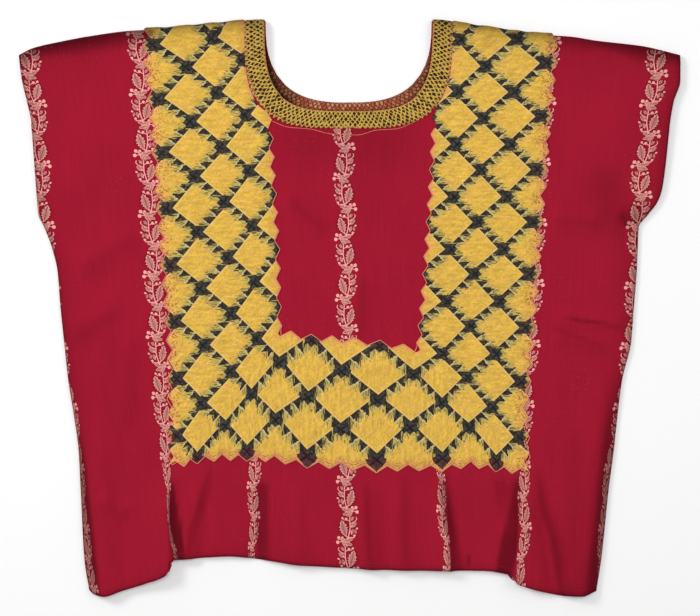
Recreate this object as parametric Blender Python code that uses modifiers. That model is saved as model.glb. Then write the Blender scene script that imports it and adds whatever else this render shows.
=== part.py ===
"""A Tehuana-style huipil, a square-cut blouse with an embroidered yoke, laid flat on its back.

One length of cotton is folded at the shoulders, with the neck hole cut through the fold; the
sides are sewn up to the armholes and the lower edge is hemmed. A U-shaped frame of thick chain
stitch lies round the neck on the front, and a narrow worked band edges the neck hole.

+X is the wearer's left as it lies, +Y points to the shoulders, +Z up. The back rests on z = 0.
Tables are in millimetres; everything built from them is in metres.
"""

from collections import namedtuple

import bpy
import numpy as np

MM = 0.001

# Driving dimensions, in millimetres
WALL = 1.2  # thickness of the cloth
SEAM_GAP = 0.3  # room between two pieces that touch
STITCH_LIFT = 0.5  # room under the embroidery, which follows the cloth in finer steps
BAND_CLEARANCE = 0.8  # room between the yoke and the neck band
PILE = 2.0  # height of the thickest chain stitch
BAND_PILE = 1.1  # height of the worked neck band
FRONT_LAY = 4.8  # height of the front's face where it lies smooth
SHOULDER_LAY = 6.4  # height of the front's face just inside the shoulder fold
SHOULDER_REACH = 60.0  # distance over which the shoulder's extra height fades
FOLD_DEPTH = 5.0  # how far in from the shoulder line the cloth has turned over
SIDE_ROLL = 17.0  # width of the rounding along each side edge
BACK_INSET = 1.0  # the back lies this far inside the front's outline
FOLD_OVERRUN = 0.08  # share of its length by which a fold starts before its first point
FOLD_FADE = 0.3  # share of its length over which a fold rises to its full height
LAP_HIGH_REACH = 2.2  # a pleat's gentle side and its steep one, as shares of its width
LAP_LOW_REACH = 0.55

NECK_CENTRE = -1.0
BAND_WIDTH_SIDE = 21.0
BAND_WIDTH_CENTRE = 18.0
BAND_SHARES = (0.03, 0.5, 1.0)  # lines along a neck band, as shares of its width
SHARP_ANGLE = 35.0  # edges that turn by more than this many degrees stay crisp

Neck = namedtuple("Neck", "half_width depth squareness")
# depth is measured down from the shoulder line, and squareness is a superellipse's exponent
FRONT_NECK = Neck(87.0, 94.0, 3.5)
BACK_NECK = Neck(86.5, 84.7, 2.7)

# Grid of the cloth
SIDE_COLUMNS = 15
NECK_COLUMNS = 12
TURN_ANGLES = (0.0, 30.0, 60.0, 90.0)  # steps round the shoulder fold, in degrees
ROWS_BESIDE_NECK = 5
FRONT_ROWS_BELOW = 27
BACK_ROWS_BELOW = 3
BACK_ROWS_BESIDE_NECK = 2

Section = namedtuple("Section", "y left right edge_height")
SECTIONS = (  # side edges of the laid blouse and the height of the front's face along them
    Section(264, -344, 344, 5.6),
    Section(238, -341, 344, 5.3),
    Section(213, -336, 337, 5.0),
    Section(188, -331, 333, 4.8),
    Section(150, -328, 329, 4.4),
    Section(122, -326, 325, 3.9),
    Section(109, -325, 320, 3.6),
    Section(97, -324, 311, 3.3),
    Section(84, -318, 301, 2.9),
    Section(63, -310, 300, 2.7),
    Section(38, -304, 299, 2.7),
    Section(1, -301, 296, 2.7),
    Section(-37, -297, 293, 2.7),
    Section(-74, -293, 284, 2.7),
    Section(-112, -287, 279, 2.7),
    Section(-149, -282, 275, 2.7),
    Section(-187, -280, 270, 2.7),
    Section(-262, -276, 262, 2.7),
    Section(-294, -271, 257, 2.7),
)

Rim = namedtuple("Rim", "x y")
SHOULDER = (  # the fold, from the left sleeve edge to the right one
    Rim(-344, 263),
    Rim(-330, 270),
    Rim(-305, 276),
    Rim(-268, 283),
    Rim(-230, 288),
    Rim(-193, 290),
    Rim(-143, 294.5),
    Rim(-88, 298.5),
    Rim(86, 298.5),
    Rim(132, 292.5),
    Rim(194, 284.5),
    Rim(231, 282),
    Rim(256, 278),
    Rim(306, 272),
    Rim(344, 263),
)
HEM = (  # the lower edge, which steps where pleats have slid over each other
    Rim(-271, -294),
    Rim(-266, -298),
    Rim(-255, -300),
    Rim(-238, -295),
    Rim(-213, -287),
    Rim(-188, -275),
    Rim(-178, -264),
    Rim(-161, -261),
    Rim(-125, -259),
    Rim(-88, -263),
    Rim(-50, -268),
    Rim(49, -273),
    Rim(141, -274),
    Rim(162, -279),
    Rim(175, -287),
    Rim(199, -295),
    Rim(224, -300),
    Rim(240, -300),
    Rim(256, -295),
)

Fold = namedtuple("Fold", "x0 y0 x1 y1 rise width lap")
# lap 0 is an even ridge or, with a negative rise, a trough. lap 1 or -1 is a pleat drawn from
# its top to its foot, whose high side lies towards +X or -X and which is steep on the other.
FOLDS = (
    Fold(-318, 236, -250, 150, 1.8, 22, 0),
    Fold(-330, 150, -262, 118, 1.4, 18, 0),
    Fold(318, 240, 262, 150, 1.8, 24, 0),
    Fold(206, 92, 262, 88, 1.8, 12, 0),
    Fold(280, 98, 306, 82, -1.6, 9, 0),
    Fold(-284, 36, -222, 76, 2.6, 15, 0),
    Fold(-296, -30, -236, 4, 1.6, 16, 0),
    Fold(-233, -20, -240, -130, 2.2, 13, 0),
    Fold(-262, -196, -228, -214, 1.8, 10, 0),
    Fold(-67, 118, -22, 78, 1.8, 12, 0),
    Fold(12, 40, 11, -32, 1.4, 10, 0),
    Fold(210, -8, 290, -18, 3.2, 10, 0),
    Fold(214, -24, 276, -42, 2.4, 10, 0),
    Fold(-186, -176, -185, -340, 5.2, 15, -1),
    Fold(-158, -180, -172, -300, 3.0, 10, 0),
    Fold(-142, -180, -163, -290, -1.4, 9, 0),
    Fold(-95, -180, -97, -320, -1.8, 10, 0),
    Fold(-60, -180, -50, -320, 2.2, 14, 0),
    Fold(21, -180, 24, -330, 3.2, 10, 0),
    Fold(58, -180, 58, -330, 2.2, 12, 0),
    Fold(101, -180, 110, -330, 4.0, 12, -1),
    Fold(173, -182, 171, -340, 4.8, 14, 1),
    Fold(196, -190, 220, -330, -1.8, 9, 0),
    Fold(-262, -110, -250, -340, 3.4, 15, 0),
    Fold(254, -100, 240, -340, 3.2, 15, 0),
)

# The lattice of the yoke: one row for each of its 13 upright lines of crossings
Strand = namedtuple("Strand", "top_x foot_x first_y pitch")
STRANDS = (
    Strand(-205, -177, 272, 58.2),
    Strand(-172, -155, 277, 58.2),
    Strand(-143, -128, 278, 57.8),
    Strand(-113, -103, 285, 58.2),
    Strand(-85, -75, 293, 58.7),
    Strand(-43, -42, 293, 59.6),
    Strand(-2, -8, 290, 59.4),
    Strand(42, 30, 283, 58.8),
    Strand(87, 64, 254, 54.5),
    Strand(116, 97, 252, 54.6),
    Strand(145, 125, 251, 54.0),
    Strand(177, 152, 252, 54.8),
    Strand(209, 178, 256, 55.7),
)
FOOT_ROW = 7.0  # the row of crossings where foot_x is measured
# How far handwork has drawn the crossings off those lines at some rows, for columns 0, 2, 4 ... 12
Drift = namedtuple("Drift", "row c0 c2 c4 c6 c8 c10 c12")
DRIFT_X = (
    Drift(0.0, 0.3, -1.0, -1.0, 0.0, 0.0, -2.5, -4.0),
    Drift(2.0, 1.9, 4.2, 1.6, 0.0, 2.0, -1.5, -5.0),
    Drift(4.0, 2.5, 6.8, 5.8, 0.0, 1.5, -3.0, -4.0),
    Drift(5.5, 3.5, 9.2, 6.0, -1.0, -1.0, -5.0, -3.8),
    Drift(6.5, -0.5, 3.0, -0.5, -2.0, -0.5, -4.5, -4.5),
    Drift(7.5, -4.0, -5.5, -4.0, -0.5, -1.0, 3.0, 2.0),
)
DRIFT_Y = (
    Drift(0.0, 0.2, 1.0, 0.0, 0.0, -1.0, -0.5, -1.5),
    Drift(2.0, 4.8, 4.2, 0.0, 0.0, -1.5, 0.0, -1.0),
    Drift(4.0, 4.6, 5.0, 2.2, 0.0, -1.0, 0.0, 1.5),
    Drift(5.5, 4.0, 3.2, 0.8, 0.5, 0.0, 0.0, 2.0),
    Drift(6.5, 1.2, 2.0, 2.0, -1.0, 5.0, 1.0, 0.0),
    Drift(7.5, 2.0, 4.0, 0.0, -1.2, 0.0, 1.5, -3.0),
)
DRIFT_COLUMNS = 2.0  # lattice columns between two columns of those tables
YOKE_LEFT = (-0.2, 3.93)  # outer and inner edge of the left arm, in lattice columns
YOKE_RIGHT = (8.13, 12.22)
YOKE_BOTTOM = (5.46, 7.66)  # inner and outer edge of the lower band, in lattice rows
Foot = namedtuple("Foot", "column row")
FEET = (  # where the lower band ends under each column
    Foot(0, 7.51),
    Foot(2, 7.56),
    Foot(4, 7.66),
    Foot(6, 7.62),
    Foot(8, 7.70),
    Foot(10, 7.68),
    Foot(12, 7.59),
)
TOOTH_COLUMNS = 0.09  # half the depth of the saw-toothed edge, in lattice columns
TOOTH_ROWS = 0.058
LOW_STITCH = 0.55  # height of the thread along the strands, as a share of the full pile
STRAND_SLOPE = 0.22  # how far the pile rises from a strand into a diamond, in lattice rows
KNOT_STITCH = 0.9  # height of the knot at each crossing, as a share of the full pile
KNOT_REACH = 0.16  # from a knot's middle to where it ends, in lattice rows
STEPS_PER_COLUMN = 3
STEPS_PER_ROW = 6
EVEN_ROW = 1.0  # below this row of crossings the yoke's grid follows the lattice
ROWS_ABOVE_EVEN = 7
ROW_SEARCH_STEPS = 4  # the upright lines slant so little that fewer would nearly do

CLOTH_RED = (0.33, 0.008, 0.026)
STITCH_YELLOW = (0.73, 0.45, 0.085)
BAND_OCHRE = (0.42, 0.27, 0.06)
BACK_ORANGE = (0.46, 0.13, 0.03)


def column_of(table, name):
    return np.array([getattr(row, name) for row in table], float)


def edge(name, y):
    """A column of SECTIONS at the heights y."""
    order = slice(None, None, -1)
    return np.interp(y, column_of(SECTIONS, "y")[order], column_of(SECTIONS, name)[order])


def rim(table, x):
    return np.interp(x, column_of(table, "x"), column_of(table, "y"))


def smooth(t):
    t = np.clip(t, 0.0, 1.0)
    return t * t * (3.0 - 2.0 * t)


def fold_height(fold, x, y):
    """The height that one fold adds: a bell across its line, fading at both ends."""
    along = np.array([fold.x1 - fold.x0, fold.y1 - fold.y0], float)
    length = np.hypot(*along)
    along /= length
    run = (x - fold.x0) * along[0] + (y - fold.y0) * along[1]
    side = (y - fold.y0) * along[0] - (x - fold.x0) * along[1]
    reach = np.full_like(side, fold.width)
    if fold.lap:
        reach = reach * np.where(side * fold.lap > 0, LAP_HIGH_REACH, LAP_LOW_REACH)
    start = smooth((run / length + FOLD_OVERRUN) / FOLD_FADE)
    end = smooth((1.0 - run / length + FOLD_OVERRUN) / FOLD_FADE)
    return fold.rise * np.exp(-((side / reach) ** 2)) * start * end


def front_lay(x, y):
    """Height of the front's face away from its edges."""
    depth = rim(SHOULDER, x) - y
    height = FRONT_LAY + (SHOULDER_LAY - FRONT_LAY) * np.exp(-((depth / SHOULDER_REACH) ** 2))
    for fold in FOLDS:
        height = height + fold_height(fold, x, y)
    edge_height = edge("edge_height", y)
    inside = np.minimum(x - edge("left", y), edge("right", y) - x) / SIDE_ROLL
    roll = np.sqrt(1.0 - (1.0 - np.clip(inside, 0.0, 1.0)) ** 2)
    return edge_height + (height - edge_height) * roll


def turned(x, depth, out=0.0):
    """Front and back faces near the shoulder fold, moved out by `out`.

    Half an ellipse upright across the fold, FOLD_DEPTH deep and as high as the laid cloth.
    Returns y, and the heights of the front's and the back's face.
    """
    y = rim(SHOULDER, x) + out - depth
    lay = front_lay(x, np.minimum(y, rim(SHOULDER, x)))
    middle = lay / 2
    round_part = np.clip(depth / (FOLD_DEPTH + out), 0.0, 1.0)
    swing = np.sqrt(1.0 - (1.0 - round_part) ** 2)
    return y, middle + (middle + out) * swing, middle - (middle + out) * swing


def neck_half_width(neck, depth):
    """Half the width of a neckline at a depth below the shoulder line: a superellipse."""
    share = np.clip(depth / neck.depth, 0.0, 1.0)
    return neck.half_width * (1.0 - share**neck.squareness) ** (1.0 / neck.squareness)


def neck_corner_depth(neck):
    """Depth at which a neckline turns from its side to its bottom, at 45 degrees."""
    return neck.depth * np.sqrt(0.5) ** (2.0 / neck.squareness)


def neck_bottom(neck, count):
    """Points along a neckline's bottom, from its left corner to its right one."""
    angle = np.radians(np.linspace(45.0, 135.0, count + 1))
    power = 2.0 / neck.squareness
    across = np.sign(np.cos(angle)) * np.abs(np.cos(angle)) ** power
    x = NECK_CENTRE - neck.half_width * across
    y = rim(SHOULDER, NECK_CENTRE) - neck.depth * np.sin(angle) ** power
    return x, y


def widened(neck, share):
    """The line that lies a share of the neck band's width outside a neckline."""
    return Neck(
        neck.half_width + BAND_WIDTH_SIDE * share,
        neck.depth + BAND_WIDTH_CENTRE * share,
        neck.squareness,
    )


def turn_depths(out=0.0):
    angles = np.radians(TURN_ANGLES)
    return (FOLD_DEPTH + out) * (1.0 - np.cos(angles))


def panel_plan(neck, rows_beside_neck, rows_below, inset):
    """x and depth below the shoulder line for a panel's grid, rows from the fold to the hem.

    Beside the neck the columns run between the sleeve edge and the neckline; below it they
    spread evenly to the hem. Returns x, the depth and the row of the neckline's bottom.
    """
    beside = np.linspace(FOLD_DEPTH, neck_corner_depth(neck), rows_beside_neck + 1)[1:]
    depths = np.concatenate([turn_depths(), beside])
    bottom_x, bottom_y = neck_bottom(neck, NECK_COLUMNS)
    share = np.linspace(0.0, 1.0, SIDE_COLUMNS + 1)
    above_x = []
    for depth in depths:
        width = neck_half_width(neck, depth)
        left_end = edge("left", SECTIONS[0].y - depth) + inset
        right_end = edge("right", SECTIONS[0].y - depth) - inset
        left = left_end + (NECK_CENTRE - width - left_end) * share
        right = NECK_CENTRE + width + (right_end - NECK_CENTRE - width) * share
        hole = np.linspace(left[-1], right[0], NECK_COLUMNS + 1)[1:-1]
        above_x.append(np.concatenate([left, hole, right]))
    above_x = np.array(above_x)
    above_x[-1, SIDE_COLUMNS : SIDE_COLUMNS + NECK_COLUMNS + 1] = bottom_x
    above_y = rim(SHOULDER, above_x) - depths[:, None]
    above_y[-1, SIDE_COLUMNS : SIDE_COLUMNS + NECK_COLUMNS + 1] = bottom_y
    start_x, start_y = above_x[-1], above_y[-1]
    start_share = (start_x - start_x[0]) / (start_x[-1] - start_x[0])
    end_share = np.linspace(0.0, 1.0, len(start_x))
    hem_left, hem_right = SECTIONS[-1].left + inset, SECTIONS[-1].right - inset
    hem_y = rim(HEM, hem_left + (hem_right - hem_left) * end_share) + inset
    t = np.linspace(0.0, 1.0, rows_below + 1)[1:, None]
    below_y = start_y + (hem_y - start_y) * t
    left_end = edge("left", below_y[:, :1]) + inset
    right_end = edge("right", below_y[:, -1:]) - inset
    below_x = left_end + (right_end - left_end) * (start_share + (end_share - start_share) * t)
    x, y = np.vstack([above_x, below_x]), np.vstack([above_y, below_y])
    return x, rim(SHOULDER, x) - y, len(depths) - 1


def grid_mesh(name, grid, keep):
    """An open surface from a grid of points in millimetres, with the quads where keep is true."""
    rows, columns = grid.shape[:2]
    index = np.arange(rows * columns).reshape(rows, columns)
    quads = np.stack([index[:-1, :-1], index[1:, :-1], index[1:, 1:], index[:-1, 1:]], -1)[keep]
    used, faces = np.unique(quads, return_inverse=True)
    mesh = bpy.data.meshes.new(name)
    mesh.from_pydata((grid.reshape(-1, 3)[used] * MM).tolist(), [], faces.reshape(-1, 4).tolist())
    mesh.update()
    return mesh, used


def material(name, colour, roughness):
    made = bpy.data.materials.new(name)
    made.use_nodes = True
    shader = made.node_tree.nodes["Principled BSDF"]
    shader.inputs["Base Color"].default_value = (*colour, 1.0)
    shader.inputs["Roughness"].default_value = roughness
    shader.inputs["Metallic"].default_value = 0.0
    return made


def add_wall(collection, mesh, thickness, outward, finish):
    """The open surface as an object, given its thickness by Solidify."""
    wall = bpy.data.objects.new(mesh.name, mesh)
    collection.objects.link(wall)
    mesh.materials.append(finish)
    mesh.shade_smooth()
    mesh.set_sharp_from_angle(angle=np.radians(SHARP_ANGLE))
    solidify = wall.modifiers.new("wall", "SOLIDIFY")
    solidify.thickness = thickness * MM
    solidify.offset = 1.0 if outward else -1.0
    return wall


def add_body_cloth(collection):
    """Front and back in one length: from the front's hem over the shoulder fold to the back's."""
    x, depth, neck_row = panel_plan(FRONT_NECK, ROWS_BESIDE_NECK, FRONT_ROWS_BELOW, 0.0)
    front_y, front_z, _ = turned(x, depth)
    front = np.stack([x, front_y, front_z], -1)
    back_x, back_depth, back_neck_row = panel_plan(
        BACK_NECK, BACK_ROWS_BESIDE_NECK, BACK_ROWS_BELOW, BACK_INSET
    )
    back_y, _, back_z = turned(back_x, back_depth)
    back = np.stack([back_x, back_y, back_z], -1)
    length = np.concatenate([front[::-1], back[1:]])
    keep = np.ones((len(length) - 1, x.shape[1] - 1), bool)
    fold_row = len(front) - 1
    hole = slice(SIDE_COLUMNS, SIDE_COLUMNS + NECK_COLUMNS)
    keep[fold_row - neck_row : fold_row + back_neck_row, hole] = False
    mesh, _ = grid_mesh("body_cloth", length, keep)
    mesh.flip_normals()
    add_wall(collection, mesh, WALL, False, material("printed_cotton", CLOTH_RED, 0.85))


def drift(table, column, row):
    """A drift table read at a place: straight runs between its rows and its columns."""
    rows = column_of(table, "row")
    values = np.array(table)[:, 1:]
    low_row = np.clip(np.searchsorted(rows, row, side="right") - 1, 0, len(rows) - 2)
    place = np.clip(column / DRIFT_COLUMNS, 0.0, values.shape[1] - 1.0)
    low = np.minimum(place.astype(int), values.shape[1] - 2)
    down = np.clip((row - rows[low_row]) / (rows[low_row + 1] - rows[low_row]), 0.0, 1.0)
    across = place - low
    upper = values[low_row, low] * (1.0 - across) + values[low_row, low + 1] * across
    lower = values[low_row + 1, low] * (1.0 - across) + values[low_row + 1, low + 1] * across
    return upper * (1.0 - down) + lower * down


def lattice(column, row):
    """x and y of a place on the yoke's lattice, from its upright lines and its drift."""
    lines = np.arange(len(STRANDS))
    top, foot, first, pitch = (
        np.interp(column, lines, column_of(STRANDS, name)) for name in Strand._fields
    )
    end_step = column_of(STRANDS, "top_x")[[1, -1]] - column_of(STRANDS, "top_x")[[0, -2]]
    beyond = np.minimum(column, 0) * end_step[0] + np.maximum(column - lines[-1], 0) * end_step[1]
    x = top + beyond + (foot - top) * row / FOOT_ROW + drift(DRIFT_X, column, row)
    return x, first - pitch * row + drift(DRIFT_Y, column, row)


def row_at_depth(column, depth):
    """The lattice row that lies at a depth below the shoulder line, found step by step."""
    row = np.zeros_like(column)
    for _ in range(ROW_SEARCH_STEPS):
        x, y = lattice(column, row)
        _, next_y = lattice(column, row + 1.0)
        row = row + (y - (rim(SHOULDER, x) - depth)) / (y - next_y)
    return row


def stitch_height(column, row):
    """Share of the full pile: padded diamonds, low strands between, knots at the crossings."""
    p, q = row - column / 2, row + column / 2
    off_p, off_q = np.abs(p - np.round(p)), np.abs(q - np.round(q))
    diamond = LOW_STITCH + (1.0 - LOW_STITCH) * smooth(np.minimum(off_p, off_q) / STRAND_SLOPE)
    knot = np.clip(1.0 - np.maximum(off_p, off_q) / KNOT_REACH, 0.0, 1.0)
    return np.maximum(diamond, KNOT_STITCH * knot)


def yoke_columns():
    first = -1.0 / STEPS_PER_COLUMN
    count = round((len(STRANDS) - 1 - 2 * first) * STEPS_PER_COLUMN)
    return first + np.arange(count + 1) / STEPS_PER_COLUMN


def yoke_plan():
    """Lattice column and row of the yoke's grid points, and which quads it keeps."""
    columns = yoke_columns()
    low_count = round((YOKE_BOTTOM[1] - EVEN_ROW) * STEPS_PER_ROW)
    low_rows = EVEN_ROW + np.arange(low_count + 1) / STEPS_PER_ROW
    depth_rows = [row_at_depth(columns, depth) for depth in turn_depths(STITCH_LIFT)]
    t = np.linspace(0.0, 1.0, ROWS_ABOVE_EVEN + 1)[1:-1, None]
    above = depth_rows[-1] + (EVEN_ROW - depth_rows[-1]) * t
    row = np.vstack([depth_rows, above, np.repeat(low_rows[:, None], len(columns), 1)])
    column = np.repeat(columns[None], len(row), 0)
    left_in = round((YOKE_LEFT[1] - columns[0]) * STEPS_PER_COLUMN)
    right_in = round((YOKE_RIGHT[0] - columns[0]) * STEPS_PER_COLUMN)
    inner_low = len(depth_rows) + len(above) + round((YOKE_BOTTOM[0] - EVEN_ROW) * STEPS_PER_ROW)
    tooth = np.where(np.arange(len(row)) % 2 == 0, 1.0, -1.0) * TOOTH_COLUMNS
    column[:, 0] = YOKE_LEFT[0] - tooth
    column[:, -1] = YOKE_RIGHT[1] + tooth
    column[: inner_low + 1, left_in] = (YOKE_LEFT[1] + tooth)[: inner_low + 1]
    column[: inner_low + 1, right_in] = (YOKE_RIGHT[0] - tooth)[: inner_low + 1]
    bottom_tooth = np.where(np.arange(len(columns)) % 2 == 0, 1.0, -1.0) * TOOTH_ROWS
    inner, outer = YOKE_BOTTOM
    foot = np.interp(columns, column_of(FEET, "column"), column_of(FEET, "row"))
    drawn_in = inner + (row - inner) * (foot - inner) / (outer - inner)
    row = np.where(row > inner, drawn_in, row)
    row[-1] = foot + bottom_tooth
    row[inner_low, left_in + 1 : right_in] = (YOKE_BOTTOM[0] - bottom_tooth)[left_in + 1 : right_in]
    keep = np.ones((len(row) - 1, len(columns) - 1), bool)
    keep[:inner_low, left_in:right_in] = False
    return column, row, keep, left_in, right_in, inner_low


def clear_of_neck_band(column, row, left_in, right_in, last_row):
    """Draws the arms' columns in so that their inner edges stop beside the neck band."""
    for j in range(last_row):
        x, y = lattice(column[j], row[j])
        depth = np.maximum(rim(SHOULDER, x) - y, 0.0)
        for inner, outer, side in ((left_in, 0, -1), (right_in, -1, 1)):
            band = neck_half_width(widened(FRONT_NECK, 1.0), depth[inner]) + BAND_CLEARANCE
            limit = NECK_CENTRE + side * band
            if side * (x[inner] - limit) >= 0:
                continue
            stop = np.interp(side * limit, side * x[::side], column[j][::side])
            part = slice(0, left_in + 1) if side < 0 else slice(right_in, None)
            span = column[j, inner] - column[j, outer]
            share = (column[j, part] - column[j, outer]) / span
            column[j, part] = column[j, outer] + (stop - column[j, outer]) * share


def add_yoke(collection):
    """The embroidered frame: the front's face moved out, with the stitch relief on its outside."""
    column, row, keep, left_in, right_in, inner_low = yoke_plan()
    clear_of_neck_band(column, row, left_in, right_in, inner_low)
    x, y = lattice(column, row)
    turn_rows = len(TURN_ANGLES)
    depth = rim(SHOULDER, x) + STITCH_LIFT - y
    depth[:turn_rows] = turn_depths(STITCH_LIFT)[:, None]
    y, z, _ = turned(x, depth, STITCH_LIFT)
    mesh, used = grid_mesh("yoke_embroidery", np.stack([x, y, z], -1), keep)
    wall = add_wall(collection, mesh, PILE, True, material("yellow_thread", STITCH_YELLOW, 0.7))
    heights = stitch_height(column, row).reshape(-1)[used]
    pile = wall.vertex_groups.new(name="pile")
    for vertex, height in enumerate(heights):
        pile.add([vertex], float(height), "REPLACE")
    wall.modifiers["wall"].vertex_group = pile.name


def band_path(neck, share, out):
    """x and depth along a neck band, a share of the way from the neckline to its outer edge."""
    line = widened(neck, share)
    beside = np.linspace(FOLD_DEPTH, neck_corner_depth(line), ROWS_BESIDE_NECK + 2)[1:-1]
    side_depth = np.concatenate([turn_depths(out), beside])
    side_x = neck_half_width(line, side_depth)
    bottom_x, bottom_y = neck_bottom(line, 2 * NECK_COLUMNS)
    x = np.concatenate([NECK_CENTRE - side_x, bottom_x, NECK_CENTRE + side_x[::-1]])
    bottom_depth = rim(SHOULDER, bottom_x) - bottom_y
    return x, np.concatenate([side_depth, bottom_depth, side_depth[::-1]])


def add_neck_band(collection):
    """The worked band that edges the front of the neck hole, on the front's face."""
    strips = []
    for share in BAND_SHARES:
        x, depth = band_path(FRONT_NECK, share, STITCH_LIFT)
        y, z, _ = turned(x, depth, STITCH_LIFT)
        strips.append(np.stack([x, y, z], -1))
    add_band(collection, "neck_band_front", strips, material("band_thread", BAND_OCHRE, 0.7))


def add_back_band(collection):
    """The wrong side of the band along the back of the neck hole, seen inside the blouse."""
    strips = []
    for share in BAND_SHARES:
        x, depth = band_path(BACK_NECK, share, 0.0)
        flat = slice(len(TURN_ANGLES), -len(TURN_ANGLES))
        y = rim(SHOULDER, x) - depth
        strips.append(np.stack([x, y, np.full_like(x, WALL + SEAM_GAP)], -1)[flat])
    finish = material("band_wrong_side", BACK_ORANGE, 0.8)
    add_band(collection, "neck_band_back", strips, finish)


def add_band(collection, name, strips, finish):
    grid = np.array(strips)
    keep = np.ones((grid.shape[0] - 1, grid.shape[1] - 1), bool)
    mesh, _ = grid_mesh(name, grid, keep)
    add_wall(collection, mesh, BAND_PILE, True, finish)


def main():
    for old in list(bpy.data.objects):
        bpy.data.objects.remove(old, do_unlink=True)
    collection = bpy.data.collections.new("huipil_blouse")
    bpy.context.scene.collection.children.link(collection)
    add_body_cloth(collection)
    add_yoke(collection)
    add_neck_band(collection)
    add_back_band(collection)


main()
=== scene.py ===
"""A Tehuana-style huipil blouse laid flat, with a chain-stitched yoke and worked neck bands.

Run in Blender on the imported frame. Each piece is worked out in millimetres from the same tables
and formulas as the part's solids, in finer steps, and built in metres. +X is the wearer's left
as the blouse lies, +Y points to the shoulders and +Z up.
"""

from collections import namedtuple

import bpy
import numpy as np
from bpy.props import FloatProperty, FloatVectorProperty, PointerProperty
from bpy.types import Operator, Panel, PropertyGroup
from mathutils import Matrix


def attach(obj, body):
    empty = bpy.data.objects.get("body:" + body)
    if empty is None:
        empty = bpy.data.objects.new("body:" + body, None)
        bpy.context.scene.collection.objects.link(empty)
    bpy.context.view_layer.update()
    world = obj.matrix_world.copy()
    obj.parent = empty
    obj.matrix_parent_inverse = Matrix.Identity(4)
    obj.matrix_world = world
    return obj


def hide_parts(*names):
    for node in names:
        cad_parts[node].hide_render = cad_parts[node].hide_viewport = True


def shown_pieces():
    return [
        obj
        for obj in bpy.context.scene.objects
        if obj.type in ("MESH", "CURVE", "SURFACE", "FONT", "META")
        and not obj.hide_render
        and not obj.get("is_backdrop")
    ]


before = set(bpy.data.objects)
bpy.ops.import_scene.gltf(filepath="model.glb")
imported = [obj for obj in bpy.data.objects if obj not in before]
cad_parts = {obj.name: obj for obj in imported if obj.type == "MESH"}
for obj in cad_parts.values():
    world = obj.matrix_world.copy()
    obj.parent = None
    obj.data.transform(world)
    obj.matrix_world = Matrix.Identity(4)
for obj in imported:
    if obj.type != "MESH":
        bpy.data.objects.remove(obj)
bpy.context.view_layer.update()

bl_info = {
    "name": "Embroidered Huipil Blouse",
    "version": (1, 0, 0),
    "blender": (4, 5, 0),
    "location": "View3D > Sidebar > Huipil",
    "description": "Dresses a laid huipil blouse: printed cotton, stitched yoke, neck bands, hems",
    "category": "Add Mesh",
}

MM = 0.001


def listed(kind, *rows):
    """Rows of plain numbers as named tuples of one kind."""
    return tuple(kind(*row) for row in rows)


# -------------------------------- sizes, in millimetres

FRONT_LAY = 4.8  # height of the front's face where it lies smooth
SHOULDER_LAY = 6.4  # height of the front's face just inside the shoulder fold
SHOULDER_REACH = 60.0
FOLD_DEPTH = 5.0  # how far in from the shoulder line the cloth has turned over
FOLD_ARC = 6.5  # cloth used by a quarter of that turn
FOLD_STEPS = 6  # rows of points in it
SIDE_ROLL = 17.0  # width of the rounding along each side edge
BACK_INSET = 1.0
FOLD_OVERRUN = 0.08
FOLD_FADE = 0.3
LAP_HIGH_REACH = 2.2
LAP_LOW_REACH = 0.55
FOLD_GAIN = 1.8  # how much higher the folds stand here than in the solids
LAP_LEAN = 0.35  # how far a pleat's steep side is drawn in under its crest, as a share of its width

STITCH_LIFT = 0.5  # room under the embroidery
BAND_CLEARANCE = 0.1

NECK_CENTRE = -1.0
BAND_WIDTH_SIDE = 21.0
BAND_WIDTH_CENTRE = 18.0
ARMHOLE_FOOT = 96.0  # where the side seams start

Neck = namedtuple("Neck", "half_width depth squareness")
FRONT_NECK = Neck(87.0, 94.0, 3.5)
BACK_NECK = Neck(86.5, 84.7, 2.7)

Section = namedtuple("Section", "y left right edge_height")
SECTIONS = listed(
    Section,
    (264, -344, 344, 5.6), (238, -341, 344, 5.3), (213, -336, 337, 5.0), (188, -331, 333, 4.8),
    (150, -328, 329, 4.4), (122, -326, 325, 3.9), (109, -325, 320, 3.6), (97, -324, 311, 3.3),
    (84, -318, 301, 2.9), (63, -310, 300, 2.7), (38, -304, 299, 2.7), (1, -301, 296, 2.7),
    (-37, -297, 293, 2.7), (-74, -293, 284, 2.7), (-112, -287, 279, 2.7), (-149, -282, 275, 2.7),
    (-187, -280, 270, 2.7), (-262, -276, 262, 2.7), (-294, -271, 257, 2.7),
)

Rim = namedtuple("Rim", "x y")
SHOULDER = listed(
    Rim,
    (-344, 263), (-330, 270), (-305, 276), (-268, 283), (-230, 288), (-193, 290), (-143, 294.5),
    (-88, 298.5), (86, 298.5), (132, 292.5), (194, 284.5), (231, 282), (256, 278), (306, 272),
    (344, 263),
)
HEM = listed(
    Rim,
    (-271, -294), (-266, -298), (-255, -300), (-238, -295), (-213, -287), (-187, -275.5),
    (-183.5, -263), (-161, -261), (-125, -259), (-88, -263), (-50, -268), (49, -273), (141, -274),
    (163, -278), (170, -285.5), (180, -289), (199, -295), (224, -300), (240, -300), (256, -295),
)

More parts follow.
